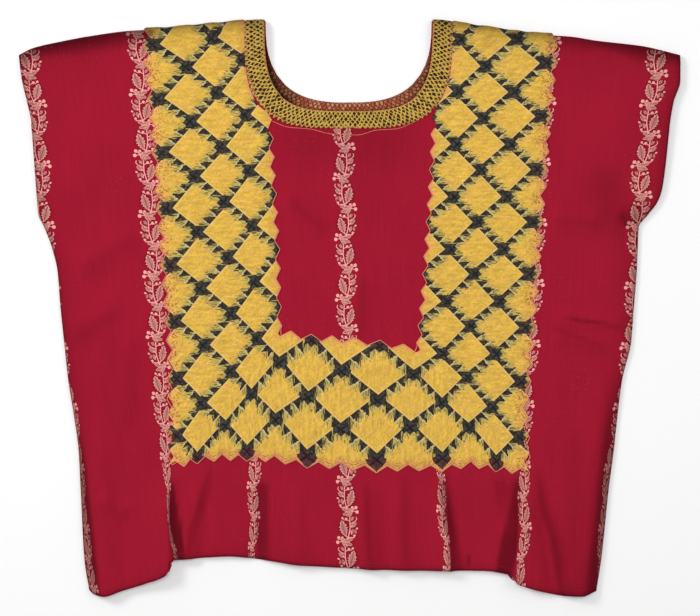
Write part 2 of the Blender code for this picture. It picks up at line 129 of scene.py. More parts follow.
# Without a lap a fold is an even ridge or trough. Lap 1 or -1 is a pleat whose high side lies
# towards +X or -X.
Fold = namedtuple("Fold", "x0 y0 x1 y1 rise width lap", defaults=[0])
FOLDS = listed(
    Fold,
    (-318, 236, -250, 150, 1.8, 22), (-330, 150, -262, 118, 1.4, 18),
    (318, 240, 262, 150, 1.8, 24), (206, 92, 262, 88, 1.8, 12), (280, 98, 306, 82, -1.6, 9),
    (-284, 36, -222, 76, 2.6, 15), (-296, -30, -236, 4, 1.6, 16), (-233, -20, -240, -130, 2.2, 13),
    (-262, -196, -228, -214, 1.8, 10), (-67, 118, -22, 78, 1.8, 12), (12, 40, 11, -32, 1.4, 10),
    (210, -8, 290, -18, 3.2, 10), (214, -24, 276, -42, 2.4, 10),
    (-186, -176, -185, -340, 5.2, 15, -1), (-158, -180, -172, -300, 3.0, 10),
    (-142, -180, -163, -290, -1.4, 9), (-95, -180, -97, -320, -1.8, 10),
    (-60, -180, -50, -320, 2.2, 14), (21, -180, 24, -330, 3.2, 10), (58, -180, 58, -330, 2.2, 12),
    (101, -180, 110, -330, 4.0, 12, -1), (173, -182, 171, -340, 4.8, 14, 1),
    (196, -190, 220, -330, -1.8, 9), (-262, -110, -250, -340, 3.4, 15),
    (254, -100, 240, -340, 3.2, 15),
)
CREASES = listed(  # pressed lines, finer than the solids'
    Fold,
    (208, -10, 286, -21, -0.9, 2.6), (212, -23, 274, -44, -0.8, 2.8), (12, 38, 30, 38, -0.6, 2.6),
    (-66, 112, -26, 78, -0.6, 3.2), (-140, -176, -168, -262, -1.2, 3.6),
    (-252, -205, -246, -222, -0.7, 3.0), (284, 92, 300, 76, -1.0, 4.0),
    (-320, 92, -296, 84, -0.8, 4.0), (56, -196, 60, -262, -0.6, 3.5),
    (124, -250, 125, -274, -0.7, 3.0), (-70, -238, -74, -262, -0.7, 3.0),
    (152, -178, 168, -224, -1.3, 7.0), (-300, 120, -268, 96, -0.5, 5.0),
)
SHADES = listed(  # painted shade in the folds: rise is the share of light that is lost
    Fold,
    (-143, -163, -166, -235, 0.18, 2.4), (-165, -225, -168, -262, 0.22, 2.4),
    (17, -176, 22, -285, 0.28, 4.5), (57, -168, 58, -280, 0.17, 6), (-85, 174, 80, 174, 0.15, 32),
    (262, 150, 285, 70, 0.16, 22), (300, 112, 300, 84, 0.30, 8), (236, -120, 230, -300, 0.12, 12),
    (223, -10, 284, -21, 0.34, 1.6), (208, -20, 267, -42, 0.18, 2.0), (283, 99, 290, 84, 0.5, 3.0),
    (204, 92, 262, 87, 0.10, 5.0), (-280, 39, -222, 74, 0.10, 8.0),
    (-290, -34, -236, -2, 0.08, 7.0), (-245, -20, -250, -130, 0.08, 9.0),
    (-250, -200, -238, -216, 0.07, 3.0), (-281, -130, -261, -300, 0.48, 3.2),
    (275, -76, 250, -296, 0.4, 6.5), (-66, 116, -26, 80, 0.12, 5.0), (14, 38, 12, -30, 0.14, 4.0),
    (124, -256, 124, -270, 0.4, 2.0),
)
Pleat = namedtuple("Pleat", "soft_left soft_right stations")
Station = namedtuple("Station", "y left right loss")


def pleat(soft_left, soft_right, *stations):
    """A pleat's dark side, from the softness of its two edges and its stations."""
    return Pleat(soft_left, soft_right, listed(Station, *stations))


PLEATS = (  # the pleats' dark sides: between two lines down the cloth, with the light each loses
    pleat(
        3.5,
        3.0,
        (-173, -188.6, -185.7, 0.0), (-186, -188.4, -182.0, 0.5), (-200, -188.4, -180.0, 0.53),
        (-221, -188.0, -176.0, 0.56), (-242, -184.6, -172.9, 0.6), (-263, -181.8, -171.4, 0.6),
    ),
    pleat(
        3.0,
        10.0,
        (-177, -96.2, -91.0, 0.0), (-186, -96.7, -84.8, 0.42), (-242, -97.2, -84.2, 0.42),
        (-278, -96.0, -84.5, 0.36),
    ),
    pleat(
        3.0,
        7.0,
        (-166, 94.0, 101.0, 0.0), (-180, 93.0, 102.5, 0.42), (-200, 94.0, 104.0, 0.46),
        (-221, 96.8, 107.8, 0.44), (-242, 101.5, 113.0, 0.36), (-263, 103.6, 117.2, 0.34),
        (-280, 104.0, 119.0, 0.3),
    ),
    pleat(
        6.0,
        3.0,
        (-173, 172.1, 176.3, 0.0), (-185, 170.0, 177.3, 0.45), (-200, 168.4, 176.8, 0.42),
        (-221, 163.2, 175.3, 0.46), (-242, 157.6, 174.2, 0.55), (-263, 153.9, 172.1, 0.55),
        (-281, 151.3, 169.0, 0.55),
    ),
    pleat(
        4.0,
        3.0,
        (-173, 152.4, 175.2, 0.0), (-185, 151.3, 175.2, 0.2), (-205, 153.4, 175.2, 0.13),
        (-231, 156.5, 175.2, 0.0),
    ),
    pleat(
        7.0,
        15.0,
        (-164, 192.0, 200.0, 0.0), (-185, 195.0, 202.0, 0.32), (-200, 196.0, 204.0, 0.32),
        (-221, 202.0, 211.0, 0.38), (-242, 208.5, 218.0, 0.38), (-263, 212.0, 222.0, 0.4),
        (-283, 215.0, 223.0, 0.36), (-300, 217.0, 224.0, 0.3),
    ),
    pleat(
        11.0,
        3.0,
        (-60, 280.0, 400.0, 0.0), (-96, 275.0, 400.0, 0.12), (-148, 264.0, 400.0, 0.16),
        (-200, 257.4, 400.0, 0.2), (-252, 251.2, 400.0, 0.22), (-302, 243.9, 400.0, 0.38),
    ),
    pleat(
        16.0,
        3.0,
        (-255, 240.0, 400.0, 0.0), (-285, 227.0, 400.0, 0.16), (-302, 214.0, 400.0, 0.34),
    ),
    pleat(
        3.0,
        10.0,
        (-105, -400.0, -287.0, 0.0), (-148, -400.0, -280.3, 0.26), (-200, -400.0, -272.0, 0.3),
        (-252, -400.0, -266.2, 0.3), (-289, -400.0, -260.5, 0.3), (-302, -400.0, -258.0, 0.3),
    ),
)
ShoulderShade = namedtuple("ShoulderShade", "x share reach")
SHOULDER_SHADES = listed(  # how dark the cloth turns below the shoulder line, and how far down
    ShoulderShade,
    (-344, 0.45, 12), (-325, 0.60, 14), (-301, 0.62, 18), (-280, 0.62, 22), (-239, 0.54, 21),
    (-206, 0.50, 18), (-200, 0.12, 7), (204, 0.12, 7), (208, 0.25, 18), (240, 0.25, 18),
    (260, 0.32, 10), (281, 0.48, 13), (302, 0.53, 21), (330, 0.50, 15), (344, 0.40, 12),
)
SHOULDER_SHADE_START = 3.0
Wave = namedtuple("Wave", "height length turn start")
WAVES = listed(  # the slack of laid cloth: height, length, and turn and start in radians
    Wave,
    (0.24, 96.0, 0.14, 0.3), (0.18, 63.0, 1.36, 1.9), (0.14, 43.0, -0.35, 4.1),
    (0.07, 24.0, 0.62, 2.2),
)

Strand = namedtuple("Strand", "top_x foot_x first_y pitch")
STRANDS = listed(
    Strand,
    (-205, -177, 272, 58.2), (-172, -155, 277, 58.2), (-143, -128, 278, 57.8),
    (-113, -103, 285, 58.2), (-85, -75, 293, 58.7), (-43, -42, 293, 59.6), (-2, -8, 290, 59.4),
    (42, 30, 283, 58.8), (87, 64, 254, 54.5), (116, 97, 252, 54.6), (145, 125, 251, 54.0),
    (177, 152, 252, 54.8), (209, 178, 256, 55.7),
)
FOOT_ROW = 7.0
# How far handwork has drawn the crossings off those lines, for columns 0, 2, 4 ... 12
Drift = namedtuple("Drift", "row c0 c2 c4 c6 c8 c10 c12")
DRIFT_X = listed(
    Drift,
    (0.0, 0.3, -1.0, -1.0, 0.0, 0.0, -2.5, -4.0), (2.0, 1.9, 4.2, 1.6, 0.0, 2.0, -1.5, -5.0),
    (4.0, 2.5, 6.8, 5.8, 0.0, 1.5, -3.0, -4.0), (5.5, 3.5, 9.2, 6.0, -1.0, -1.0, -5.0, -3.8),
    (6.5, -0.5, 3.0, -0.5, -2.0, -0.5, -4.5, -4.5), (7.5, -4.0, -5.5, -4.0, -0.5, -1.0, 3.0, 2.0),
)
DRIFT_Y = listed(
    Drift,
    (0.0, 0.2, 1.0, 0.0, 0.0, -1.0, -0.5, -1.5), (2.0, 4.8, 4.2, 0.0, 0.0, -1.5, 0.0, -1.0),
    (4.0, 4.6, 5.0, 2.2, 0.0, -1.0, 0.0, 1.5), (5.5, 4.0, 3.2, 0.8, 0.5, 0.0, 0.0, 2.0),
    (6.5, 1.2, 2.0, 2.0, -1.0, 5.0, 1.0, 0.0), (7.5, 2.0, 4.0, 0.0, -1.2, 0.0, 1.5, -3.0),
)
DRIFT_COLUMNS = 2.0
MIDDLE_COLUMN = 6.0
YOKE_LEFT = (-0.2, 3.93)  # outer and inner edge of the left arm, in lattice columns
YOKE_RIGHT = (8.13, 12.22)
YOKE_BOTTOM = (5.46, 7.66)  # inner and outer edge of the lower band, in lattice rows
Foot = namedtuple("Foot", "column row")
FEET = listed(  # where the lower band ends under each column
    Foot,
    (0, 7.51), (2, 7.56), (4, 7.66), (6, 7.62), (8, 7.70), (10, 7.68), (12, 7.59),
)
TOOTH_COLUMNS = 0.09
TOOTH_ROWS = 0.058
TEETH_PER_ROW = 3.0
TEETH_PER_COLUMN = 1.5
TOOTH_REACH = 0.5  # how far into the yoke its grid bends with the teeth, in lattice columns
TOOTH_REACH_ROWS = 0.25
LOW_STITCH = 0.55
STRAND_SLOPE = 0.22
KNOT_STITCH = 0.9
KNOT_REACH = 0.16
EVEN_ROW = 1.0

# The vine stripes: where their centre lines lie across the laid front at some heights
Stripes = namedtuple("Stripes", "y s0 s1 s2 s3 s4 s5 s6")
STRIPES = listed(
    Stripes,
    (-300, -265.5, -173, -102.5, 1, 104, 174, 268),
    (-268, -270, -174.5, -101.8, -1, 103.2, 177, 261),
    (-220, -275.5, -183.5, -100.4, -2.5, 98, 181, 263.5),
    (-174, -279, -189.2, -99.5, -2.5, 94.8, 181, 268),
    (-110, -288, -193.8, -103, -3.6, 95, 180.5, 283),
    (-40, -306, -198.5, -105, -2.6, 96, 185.8, 294),
    (40, -316, -202.5, -106, -3.2, 97, 190.8, 299.5),
    (110, -321, -207.8, -107, -4.7, 99, 193.6, 301.5),
    (184, -325, -213.7, -109, -6.8, 100, 199, 311), (268, -334, -218.5, -110, -8, 101, 207, 321),
)
STRIPE_WIDTHS = listed(  # how narrow the pleats make each stripe of the front look
    Stripes,
    (-300, 0.54, 0.2, 0.4, 1, 0.56, 0.72, 0.6), (-268, 0.48, 0.2, 0.42, 1, 0.58, 0.78, 0.5),
    (-220, 0.38, 0.26, 0.62, 1, 0.62, 0.84, 0.42), (-174, 0.36, 0.46, 0.74, 1, 0.48, 0.7, 0.42),
    (-110, 0.55, 0.95, 1, 1, 1, 0.95, 0.8), (-40, 1, 1, 1, 1, 1, 1, 1), (268, 1, 1, 1, 1, 1, 1, 1),
)
STRIPE_PITCH = 112.0  # between two stripes on the flat cloth
STRIPE_HALF = 14.0  # half the width that a stripe's motifs may fill
STRIPE_PHASES = (18.7, 38.7, 6.0, 0.0, 29.6, 16.1, 50.3)  # how far each stripe's repeat is set down
VINE_START = 133.3  # height of a flower head on the middle stripe
HALF_REPEAT = 31.5  # the motif, which is mirrored each time it follows


# -------------------------------- the laid surface


def smooth(t):
    """0 below 0, 1 above 1, and 3 t squared less 2 t cubed between."""
    t = np.clip(t, 0.0, 1.0)
    return t * t * (3.0 - 2.0 * t)


def flowing(at, knots, values):
    """A smooth line through points: a cubic between each two that never swings past them."""
    rises = np.diff(values) / np.diff(knots)
    before, after = rises[:-1], rises[1:]
    total = before + after
    middle = np.where(before * after > 0, 2 * before * after / np.where(total, total, 1.0), 0.0)
    slopes = np.concatenate([rises[:1], middle, rises[-1:]])
    left = np.clip(np.searchsorted(knots, at) - 1, 0, len(knots) - 2)
    step = knots[left + 1] - knots[left]
    t = np.clip((at - knots[left]) / step, 0.0, 1.0)
    near, far = (1.0 - t) ** 2, t**2
    start = values[left] * (1.0 + 2.0 * t) + slopes[left] * step * t
    end = values[left + 1] * (3.0 - 2.0 * t) - slopes[left + 1] * step * (1.0 - t)
    return start * near + end * far


def column_of(table, name):
    """One field of all rows of a table."""
    return np.array([getattr(row, name) for row in table], float)


def edge(name, y):
    """A column of SECTIONS at the heights y."""
    return flowing(y, column_of(SECTIONS, "y")[::-1], column_of(SECTIONS, name)[::-1])


def inside_sides(x, y):
    """How far a point lies inside the nearer side edge."""
    return np.minimum(x - edge("left", y), edge("right", y) - x)


def rim(table, x):
    """The height of a rim at the places x."""
    return flowing(x, column_of(table, "x"), column_of(table, "y"))


def across_and_ends(fold, x, y):
    """How far a point lies to a fold's side, and how far the fold has risen at that place."""
    along = np.array([fold.x1 - fold.x0, fold.y1 - fold.y0], float)
    length = np.hypot(*along)
    along /= length
    run = ((x - fold.x0) * along[0] + (y - fold.y0) * along[1]) / length
    side = (y - fold.y0) * along[0] - (x - fold.x0) * along[1]
    ends = smooth((run + FOLD_OVERRUN) / FOLD_FADE) * smooth((1.0 - run + FOLD_OVERRUN) / FOLD_FADE)
    return side, ends


def fold_height(fold, x, y):
    """The height that one fold adds: a bell across its line, fading at both ends."""
    side, ends = across_and_ends(fold, x, y)
    reach = np.full_like(side, fold.width)
    if fold.lap:
        reach = reach * np.where(side * fold.lap > 0, LAP_HIGH_REACH, LAP_LOW_REACH)
    return fold.rise * np.exp(-((side / reach) ** 2)) * ends


def leaned(x, y):
    """x with each pleat's steep side drawn in under its crest: a bell half a width below it."""
    moved = x.copy()
    for fold in FOLDS:
        if fold.lap:
            side, ends = across_and_ends(fold, x, y)
            half = fold.width / 2
            bell = np.exp(-((side * fold.lap / half + 1.0) ** 2))
            moved = moved + fold.lap * LAP_LEAN * fold.width * bell * ends
    return moved


def face_height(x, y):
    """Height of the front's face: smooth cloth, folds, creases and slack, rounded at the sides."""
    depth = rim(SHOULDER, x) - y
    height = FRONT_LAY + (SHOULDER_LAY - FRONT_LAY) * np.exp(-((depth / SHOULDER_REACH) ** 2))
    for fold in FOLDS:
        height = height + FOLD_GAIN * fold_height(fold, x, y)
    for crease in CREASES:
        height = height + fold_height(crease, x, y)
    for wave in WAVES:
        run = x * np.cos(wave.turn) + y * np.sin(wave.turn)
        height = height + wave.height * np.sin(2 * np.pi * run / wave.length + wave.start)
    edge_height = edge("edge_height", y)
    inside = np.clip(inside_sides(x, y) / SIDE_ROLL, 0.0, 1.0)
    roll = np.sqrt(1.0 - (1.0 - inside) ** 2)
    return edge_height + (height - edge_height) * roll


EdgeShade = namedtuple("EdgeShade", "share reach")
EDGE_SHADES = listed(EdgeShade, (0.38, 5.0), (0.20, 20.0))  # light that outer edges lose
SIDE_SHADE_PACE = 1.5  # that shade starts further in and ends sooner at the sides and the hem
SIDE_SHADE_START = 1.5
HEM_SHADE_PACE = 3.0
HEM_SHADE_START = 2.0


def edge_light(inside):
    """The share of light that is kept at a distance inside an outer edge."""
    inside = np.maximum(inside, 0.0)
    return 1.0 - sum(shade.share * np.exp(-inside / shade.reach) for shade in EDGE_SHADES)


def shoulder_light(x, y):
    """The share of light that the cloth or the stitching keeps below the shoulder line."""
    depth = rim(SHOULDER, x) - y
    at = column_of(SHOULDER_SHADES, "x")
    share, reach = (np.interp(x, at, column_of(SHOULDER_SHADES, name)) for name in ("share", "reach"))
    lost = share * (1.0 - smooth((depth - SHOULDER_SHADE_START) / reach))
    return edge_light(depth) * (1.0 - lost)


def pleat_light(x, y):
    """The share of light kept on the pleats' dark sides, each between its two lines."""
    kept = np.ones_like(x)
    for soft_left, soft_right, stations in PLEATS:
        at = column_of(stations, "y")[::-1]
        left, right, loss = (
            np.interp(y, at, column_of(stations, name)[::-1]) for name in Station._fields[1:]
        )
        share = smooth((x - left) / soft_left + 0.5) * smooth((right - x) / soft_right + 0.5)
        kept = kept * (1.0 - loss * share)
    return kept


def shade_of(x, y):
    """The share of light kept where shade is painted on the folds, pleats and edges."""
    kept = pleat_light(x, y) * shoulder_light(x, y)
    for fold in SHADES:
        kept = kept * (1.0 - fold_height(fold, x, y))
    sides = inside_sides(x, y) * SIDE_SHADE_PACE + SIDE_SHADE_START
    foot = (y - rim(HEM, x)) * HEM_SHADE_PACE + HEM_SHADE_START
    return kept * edge_light(np.minimum(sides, foot))


def turned(x, depth, out=0.0):
    """y and the front's and back's faces near the shoulder fold, moved out by `out`.

    Half an ellipse upright across the fold, FOLD_DEPTH deep and as high as the laid cloth.
    """
    y = rim(SHOULDER, x) + out - depth
    lay = face_height(x, np.minimum(y, rim(SHOULDER, x)))
    round_part = np.clip(depth / (FOLD_DEPTH + out), 0.0, 1.0)
    swing = np.sqrt(1.0 - (1.0 - round_part) ** 2)
    reach = (lay / 2 + out) * swing
    return y, lay / 2 + reach, lay / 2 - reach


def turn_depths(out=0.0):
    """Depths of evenly turned points round the shoulder fold: 1 less the cosine of their turn."""
    return (FOLD_DEPTH + out) * (1.0 - np.cos(np.linspace(0.0, np.pi / 2, FOLD_STEPS + 1)))


def neck_half_width(neck, depth):
    """Half the width of a neckline at a depth below the shoulder line: a superellipse."""
    share = np.clip(depth / neck.depth, 0.0, 1.0)
    return neck.half_width * (1.0 - share**neck.squareness) ** (1.0 / neck.squareness)


def neck_corner_depth(neck):
    """The depth of the point halfway round a quarter of a neckline."""
    return neck.depth * np.sqrt(0.5) ** (2.0 / neck.squareness)


def neck_bottom(neck, count):
    """Points along a neckline's bottom, from its left corner to its right one."""
    angle = np.radians(np.linspace(45.0, 135.0, count + 1))
    power = 2.0 / neck.squareness
    across = np.sign(np.cos(angle)) * np.abs(np.cos(angle)) ** power
    x = NECK_CENTRE - neck.half_width * across
    return x, rim(SHOULDER, NECK_CENTRE) - neck.depth * np.sin(angle) ** power


def widened(neck, share):
    """The line that lies a share of the neck band's width outside a neckline."""
    return Neck(
        neck.half_width + BAND_WIDTH_SIDE * share,
        neck.depth + BAND_WIDTH_CENTRE * share,
        neck.squareness,
    )


def drift(table, column, row):
    """A drift table read at a place: straight runs between its rows and its columns."""
    rows = column_of(table, "row")
    values = np.array(table)[:, 1:]
    low_row = np.clip(np.searchsorted(rows, row, side="right") - 1, 0, len(rows) - 2)
    place = np.clip(column / DRIFT_COLUMNS, 0.0, values.shape[1] - 1.0)
    low = np.minimum(place.astype(int), values.shape[1] - 2)
    down = np.clip((row - rows[low_row]) / (rows[low_row + 1] - rows[low_row]), 0.0, 1.0)
    across = place - low
    upper, lower = (
        values[at, low] * (1.0 - across) + values[at, low + 1] * across
        for at in (low_row, low_row + 1)
    )
    return upper * (1.0 - down) + lower * down


def lattice(column, row):
    """x and y of a place on the yoke's lattice, from its upright lines and its drift."""
    lines = np.arange(len(STRANDS))
    top, foot, first, pitch = (
        np.interp(column, lines, column_of(STRANDS, name)) for name in Strand._fields
    )
    end_step = column_of(STRANDS, "top_x")[[1, -1]] - column_of(STRANDS, "top_x")[[0, -2]]
    beyond = np.minimum(column, 0) * end_step[0] + np.maximum(column - lines[-1], 0) * end_step[1]
    x = top + beyond + (foot - top) * row / FOOT_ROW + drift(DRIFT_X, column, row)
    return x, first - pitch * row + drift(DRIFT_Y, column, row)


def foot_row(column):
    """The lattice row where the lower band ends under a column."""
    return np.interp(column, column_of(FEET, "column"), column_of(FEET, "row"))


SEARCH_STEPS = 5
COLUMN_STEP = 0.05  # lattice columns over which a search measures its slope


def row_at_depth(column, depth):
    """The lattice row that lies at a depth below the shoulder line, found step by step."""
    row = np.zeros_like(column)
    for _ in range(SEARCH_STEPS):
        x, y = lattice(column, row)
        next_y = lattice(column, row + 1.0)[1]
        row = row + (y - (rim(SHOULDER, x) - depth)) / (y - next_y)
    return row


def column_at(x, column, row):
    """The lattice column that lies at x on a row, found step by step from `column`."""
    for _ in range(SEARCH_STEPS):
        here = lattice(column, row)[0]
        slope = (lattice(column + COLUMN_STEP, row)[0] - here) / COLUMN_STEP
        column = column + (x - here) / slope
    return column


def zigzag(place):
    """A wave of straight runs from 1 at whole numbers down to -1 halfway between them."""
    return 2.0 * np.abs(2.0 * (place - np.floor(place)) - 1.0) - 1.0


def side_teeth(row):
    """How far the teeth of the yoke's side edges reach out at a row, in lattice columns."""
    return zigzag(row * TEETH_PER_ROW) * TOOTH_COLUMNS


def foot_teeth(column):
    """How far the teeth of its lower edges reach down at a column, in lattice rows."""
    return zigzag(column * TEETH_PER_COLUMN + 0.5) * TOOTH_ROWS


def strand_numbers(column, row):
    """p and q: the numbers of the slanting strands, of both families, that cross at a place."""
    return row - column * 0.5, row + column * 0.5


def stitch_height(column, row):
    """Share of the full pile: padded diamonds, low strands between, knots at the crossings."""
    off_p, off_q = (np.abs(number - np.round(number)) for number in strand_numbers(column, row))
    diamond = LOW_STITCH + (1.0 - LOW_STITCH) * smooth(np.minimum(off_p, off_q) / STRAND_SLOPE)
    knot = np.clip(1.0 - np.maximum(off_p, off_q) / KNOT_REACH, 0.0, 1.0)
    return np.maximum(diamond, KNOT_STITCH * knot)


# -------------------------------- meshes


def kept_quads(rows, columns, keep=None):
    """Corner numbers of a grid's quads, counterclockwise where rows climb and columns run right."""
    index = np.arange(rows * columns).reshape(rows, columns)
    quads = np.stack([index[:-1, :-1], index[:-1, 1:], index[1:, 1:], index[1:, :-1]], -1)
    return quads.reshape(-1, 4) if keep is None else quads[keep]


def pairs(first, second):
    """Two grids of numbers as the places of a UV map."""
    return np.stack([first, second], -1).reshape(-1, 2)


def open_edges(quads):
    """The directed edges that only one quad has: the outline of a sheet."""
    starts, ends = quads.reshape(-1), np.roll(quads, -1, axis=1).reshape(-1)
    most = int(quads.max()) + 1
    forward, backward = starts * most + ends, ends * most + starts
    alone = ~np.isin(forward, backward)
    return starts[alone], ends[alone]


def add_object(name, data):
    """An object of some data in the scene's own collection."""
    made = bpy.data.objects.new(name, data)
    bpy.context.scene.collection.objects.link(made)
    return made


def add_piece(name, points, faces, finishes, maps, slots=None):
    """A piece from points in millimetres and arrays of faces, with its UV maps by name."""
    mesh = bpy.data.meshes.new(name)
    used, corners = np.unique(np.concatenate([np.ravel(f) for f in faces]), return_inverse=True)
    sizes = np.concatenate([np.full(len(f), np.shape(f)[1]) for f in faces])
    starts = np.concatenate([[0], np.cumsum(sizes)[:-1]])
    mesh.vertices.add(len(used))
    mesh.vertices.foreach_set("co", (points[used] * MM).astype(np.float32).ravel())
    mesh.loops.add(len(corners))
    mesh.loops.foreach_set("vertex_index", corners.astype(np.int32))
    mesh.polygons.add(len(sizes))
    mesh.polygons.foreach_set("loop_start", starts.astype(np.int32))
    for label, places in maps.items():
        layer = mesh.uv_layers.new(name=label)
        layer.data.foreach_set("uv", (places[used] * MM)[corners].astype(np.float32).ravel())
    for finish in finishes:
        mesh.materials.append(finish)
    if slots is not None:
        mesh.polygons.foreach_set("material_index", slots.astype(np.int32))
    mesh.update(calc_edges=True)
    mesh.validate()
    mesh.shade_smooth()
    piece = add_object(name, mesh)
    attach(piece, "root")
    return piece


def thicken(piece, wall):
    """Gives a sheet of cloth its wall, on the inner side of its face."""
    solid = piece.modifiers.new("cloth", "SOLIDIFY")
    solid.thickness = wall
    solid.offset = -1.0


def closed_faces(quads, shift):
    """Faces of a shell: the quads, the same turned over `shift` points on, and walls between."""
    starts, ends = open_edges(quads)
    walls = np.stack([ends, starts, starts + shift, ends + shift], -1)
    return np.concatenate([quads, quads[:, ::-1] + shift, walls])


def tubes(paths, radii, sides=6):
    """Round threads: across each point of each path a ring of points, joined ring to ring.

    paths is a stack of lines, radii one radius for each point of a line. Returns the points,
    the side faces, the end caps and, for each point, how far along and round the thread it is.
    """
    count, length = paths.shape[:2]
    ahead = np.gradient(paths, axis=1)
    ahead /= np.linalg.norm(ahead, axis=-1, keepdims=True)
    side = np.cross(ahead, [0.0, 0.0, 1.0])
    side /= np.linalg.norm(side, axis=-1, keepdims=True)
    up = np.cross(side, ahead)
    turn = np.linspace(0.0, 2 * np.pi, sides, endpoint=False)
    ring = np.cos(turn)[:, None] * side[:, :, None] + np.sin(turn)[:, None] * up[:, :, None]
    points = paths[:, :, None] + ring * np.asarray(radii)[..., None, None]
    index = np.arange(count * length * sides).reshape(count, length, sides)
    after = np.roll(index, -1, axis=2)
    walls = np.stack([index[:, :-1], index[:, 1:], after[:, 1:], after[:, :-1]], -1)
    caps = np.concatenate([index[:, 0], index[:, -1, ::-1]])
    step = np.linalg.norm(np.diff(paths, axis=1), axis=-1)
    run = np.concatenate([np.zeros((count, 1)), np.cumsum(step, axis=1)], axis=1)
    places = pairs(*np.broadcast_arrays(run[:, :, None], np.arange(sides) / sides))
    return points.reshape(-1, 3), walls.reshape(-1, 4), caps, places


def add_threads(name, runs, finish):
    """One piece of several runs of thread, each as tubes returns it."""
    points, walls, caps, places = zip(*runs)
    shifts = np.cumsum([0, *(len(run) for run in points)])
    faces = [np.concatenate([f + at for f, at in zip(group, shifts)]) for group in (walls, caps)]
    return add_piece(
        name, np.concatenate(points), faces, [finish], {"thread": np.concatenate(places)}
    )


def along_line(line, places):
    """Points at some distances along a line of points."""
    step = np.linalg.norm(np.diff(line, axis=0), axis=1)
    run = np.concatenate([[0.0], np.cumsum(step)])
    return np.stack([np.interp(places, run, line[:, i]) for i in range(line.shape[1])], -1)


def line_length(line):
    """The length of a line of points."""
    return np.linalg.norm(np.diff(line, axis=0), axis=1).sum()


# -------------------------------- node trees


class Wire:
    """A number that runs through a node tree: arithmetic on it adds Math nodes."""

    def __init__(self, tree, socket):
        self.tree = tree
        self.socket = socket

    def math(self, operation, *others):
        """The result of a Math node on it and other numbers."""
        node = self.tree.nodes.new("ShaderNodeMath")
        node.operation = operation
        for slot, value in zip(node.inputs, (self, *others)):
            feed(slot, value)
        return Wire(self.tree, node.outputs[0])

    def __add__(self, other):
        return self.math("ADD", other)

    def __sub__(self, other):
        return self.math("SUBTRACT", other)

    def __rsub__(self, other):
        return self.math("MULTIPLY_ADD", -1.0, other)

    def __mul__(self, other):
        return self.math("MULTIPLY", other)

    def __truediv__(self, other):
        return self.math("DIVIDE", other)

    def __abs__(self):
        return self.math("ABSOLUTE")

    def over(self, other):
        """1 where it is greater than other, and 0 elsewhere."""
        return self.math("GREATER_THAN", other)

    def under(self, other):
        """1 where it is less than other, and 0 elsewhere."""
        return self.math("LESS_THAN", other)

    def part(self):
        """What it holds past a whole number."""
        return self.math("FRACT")

    __radd__ = __add__
    __rmul__ = __mul__


def feed(slot, value):
    """Links a wire or a socket to an input, or sets the input to a plain number or colour."""
    if isinstance(value, Wire):
        value = value.socket
    if isinstance(value, bpy.types.NodeSocket):
        slot.id_data.links.new(value, slot)
    else:
        slot.default_value = (*value, 1.0) if slot.type == "RGBA" else value


def add_node(tree, kind, inputs=(), **settings):
    """A node with some of its inputs fed and its settings set."""
    node = tree.nodes.new(kind)
    for name, value in settings.items():
        setattr(node, name, value)
    for name, value in dict(inputs).items():
        feed(node.inputs[name], value)
    return node


def rising(wire, low, high):
    """0 below low, 1 above high, and a smooth rise between."""
    ends = {"Value": wire, "From Min": low, "From Max": high}
    node = add_node(wire.tree, "ShaderNodeMapRange", ends, interpolation_type="SMOOTHSTEP")
    return Wire(wire.tree, node.outputs["Result"])


def highest(first, *others):
    """The greatest of some wires."""
    for other in others:
        first = first.math("MAXIMUM", other)
    return first


def chosen(share, on, off):
    """One wire where share is 1, and another where it is 0."""
    return on * share + off * (1.0 - share)


def vector(x, y):
    """A flat vector of a wire and another number."""
    return add_node(x.tree, "ShaderNodeCombineXYZ", {"X": x, "Y": y}).outputs[0]


def parts(socket):
    """The three numbers of a vector socket."""
    node = add_node(socket.id_data, "ShaderNodeSeparateXYZ", {"Vector": socket})
    return tuple(Wire(socket.id_data, number) for number in node.outputs)


def vector_math(tree, operation, first, second, output="Vector"):
    """One of the sums on two vectors, or on a vector and the number that scales it."""
    node = add_node(tree, "ShaderNodeVectorMath", {0: first}, operation=operation)
    feed(node.inputs["Scale" if operation == "SCALE" else 1], second)
    return node.outputs[output]


def noise(x, y, detail=2.0):
    """Smooth noise about 0, from about -0.5 to 0.5, over two numbers."""
    inputs = {"Vector": vector(x, y), "Scale": 1.0, "Detail": detail}
    node = add_node(x.tree, "ShaderNodeTexNoise", inputs, noise_dimensions="2D")
    return Wire(x.tree, node.outputs[0]) - 0.5


def chance(x, y):
    """A number from 0 to 1 that changes wholly from one pair of whole numbers to the next."""
    place = vector(x.math("FLOOR"), y.math("FLOOR"))
    node = add_node(x.tree, "ShaderNodeTexWhiteNoise", {"Vector": place}, noise_dimensions="2D")
    return Wire(x.tree, node.outputs["Value"])


def blend(share, under, over):
    """One colour over another: under where share is 0, and over where it is 1."""
    inputs = {0: share, 6: under, 7: over}
    return add_node(share.tree, "ShaderNodeMix", inputs, data_type="RGBA").outputs[2]


def toned(colour, tone):
    """A colour made lighter or darker by a number about 1."""
    return vector_math(tone.tree, "SCALE", colour, tone)


def begin_group(name, **inputs):
    """A new node group with an input for each name, and the wires or sockets that come from them."""
    tree = bpy.data.node_groups.new(name, "ShaderNodeTree")
    for label, default in inputs.items():
        kind = "NodeSocketVector" if isinstance(default, tuple) else "NodeSocketFloat"
        made = tree.interface.new_socket(label, in_out="INPUT", socket_type=kind)
        made.default_value = default
    start = tree.nodes.new("NodeGroupInput")
    given = [
        socket if isinstance(default, tuple) else Wire(tree, socket)
        for socket, default in zip(start.outputs, inputs.values())
    ]
    return tree, given


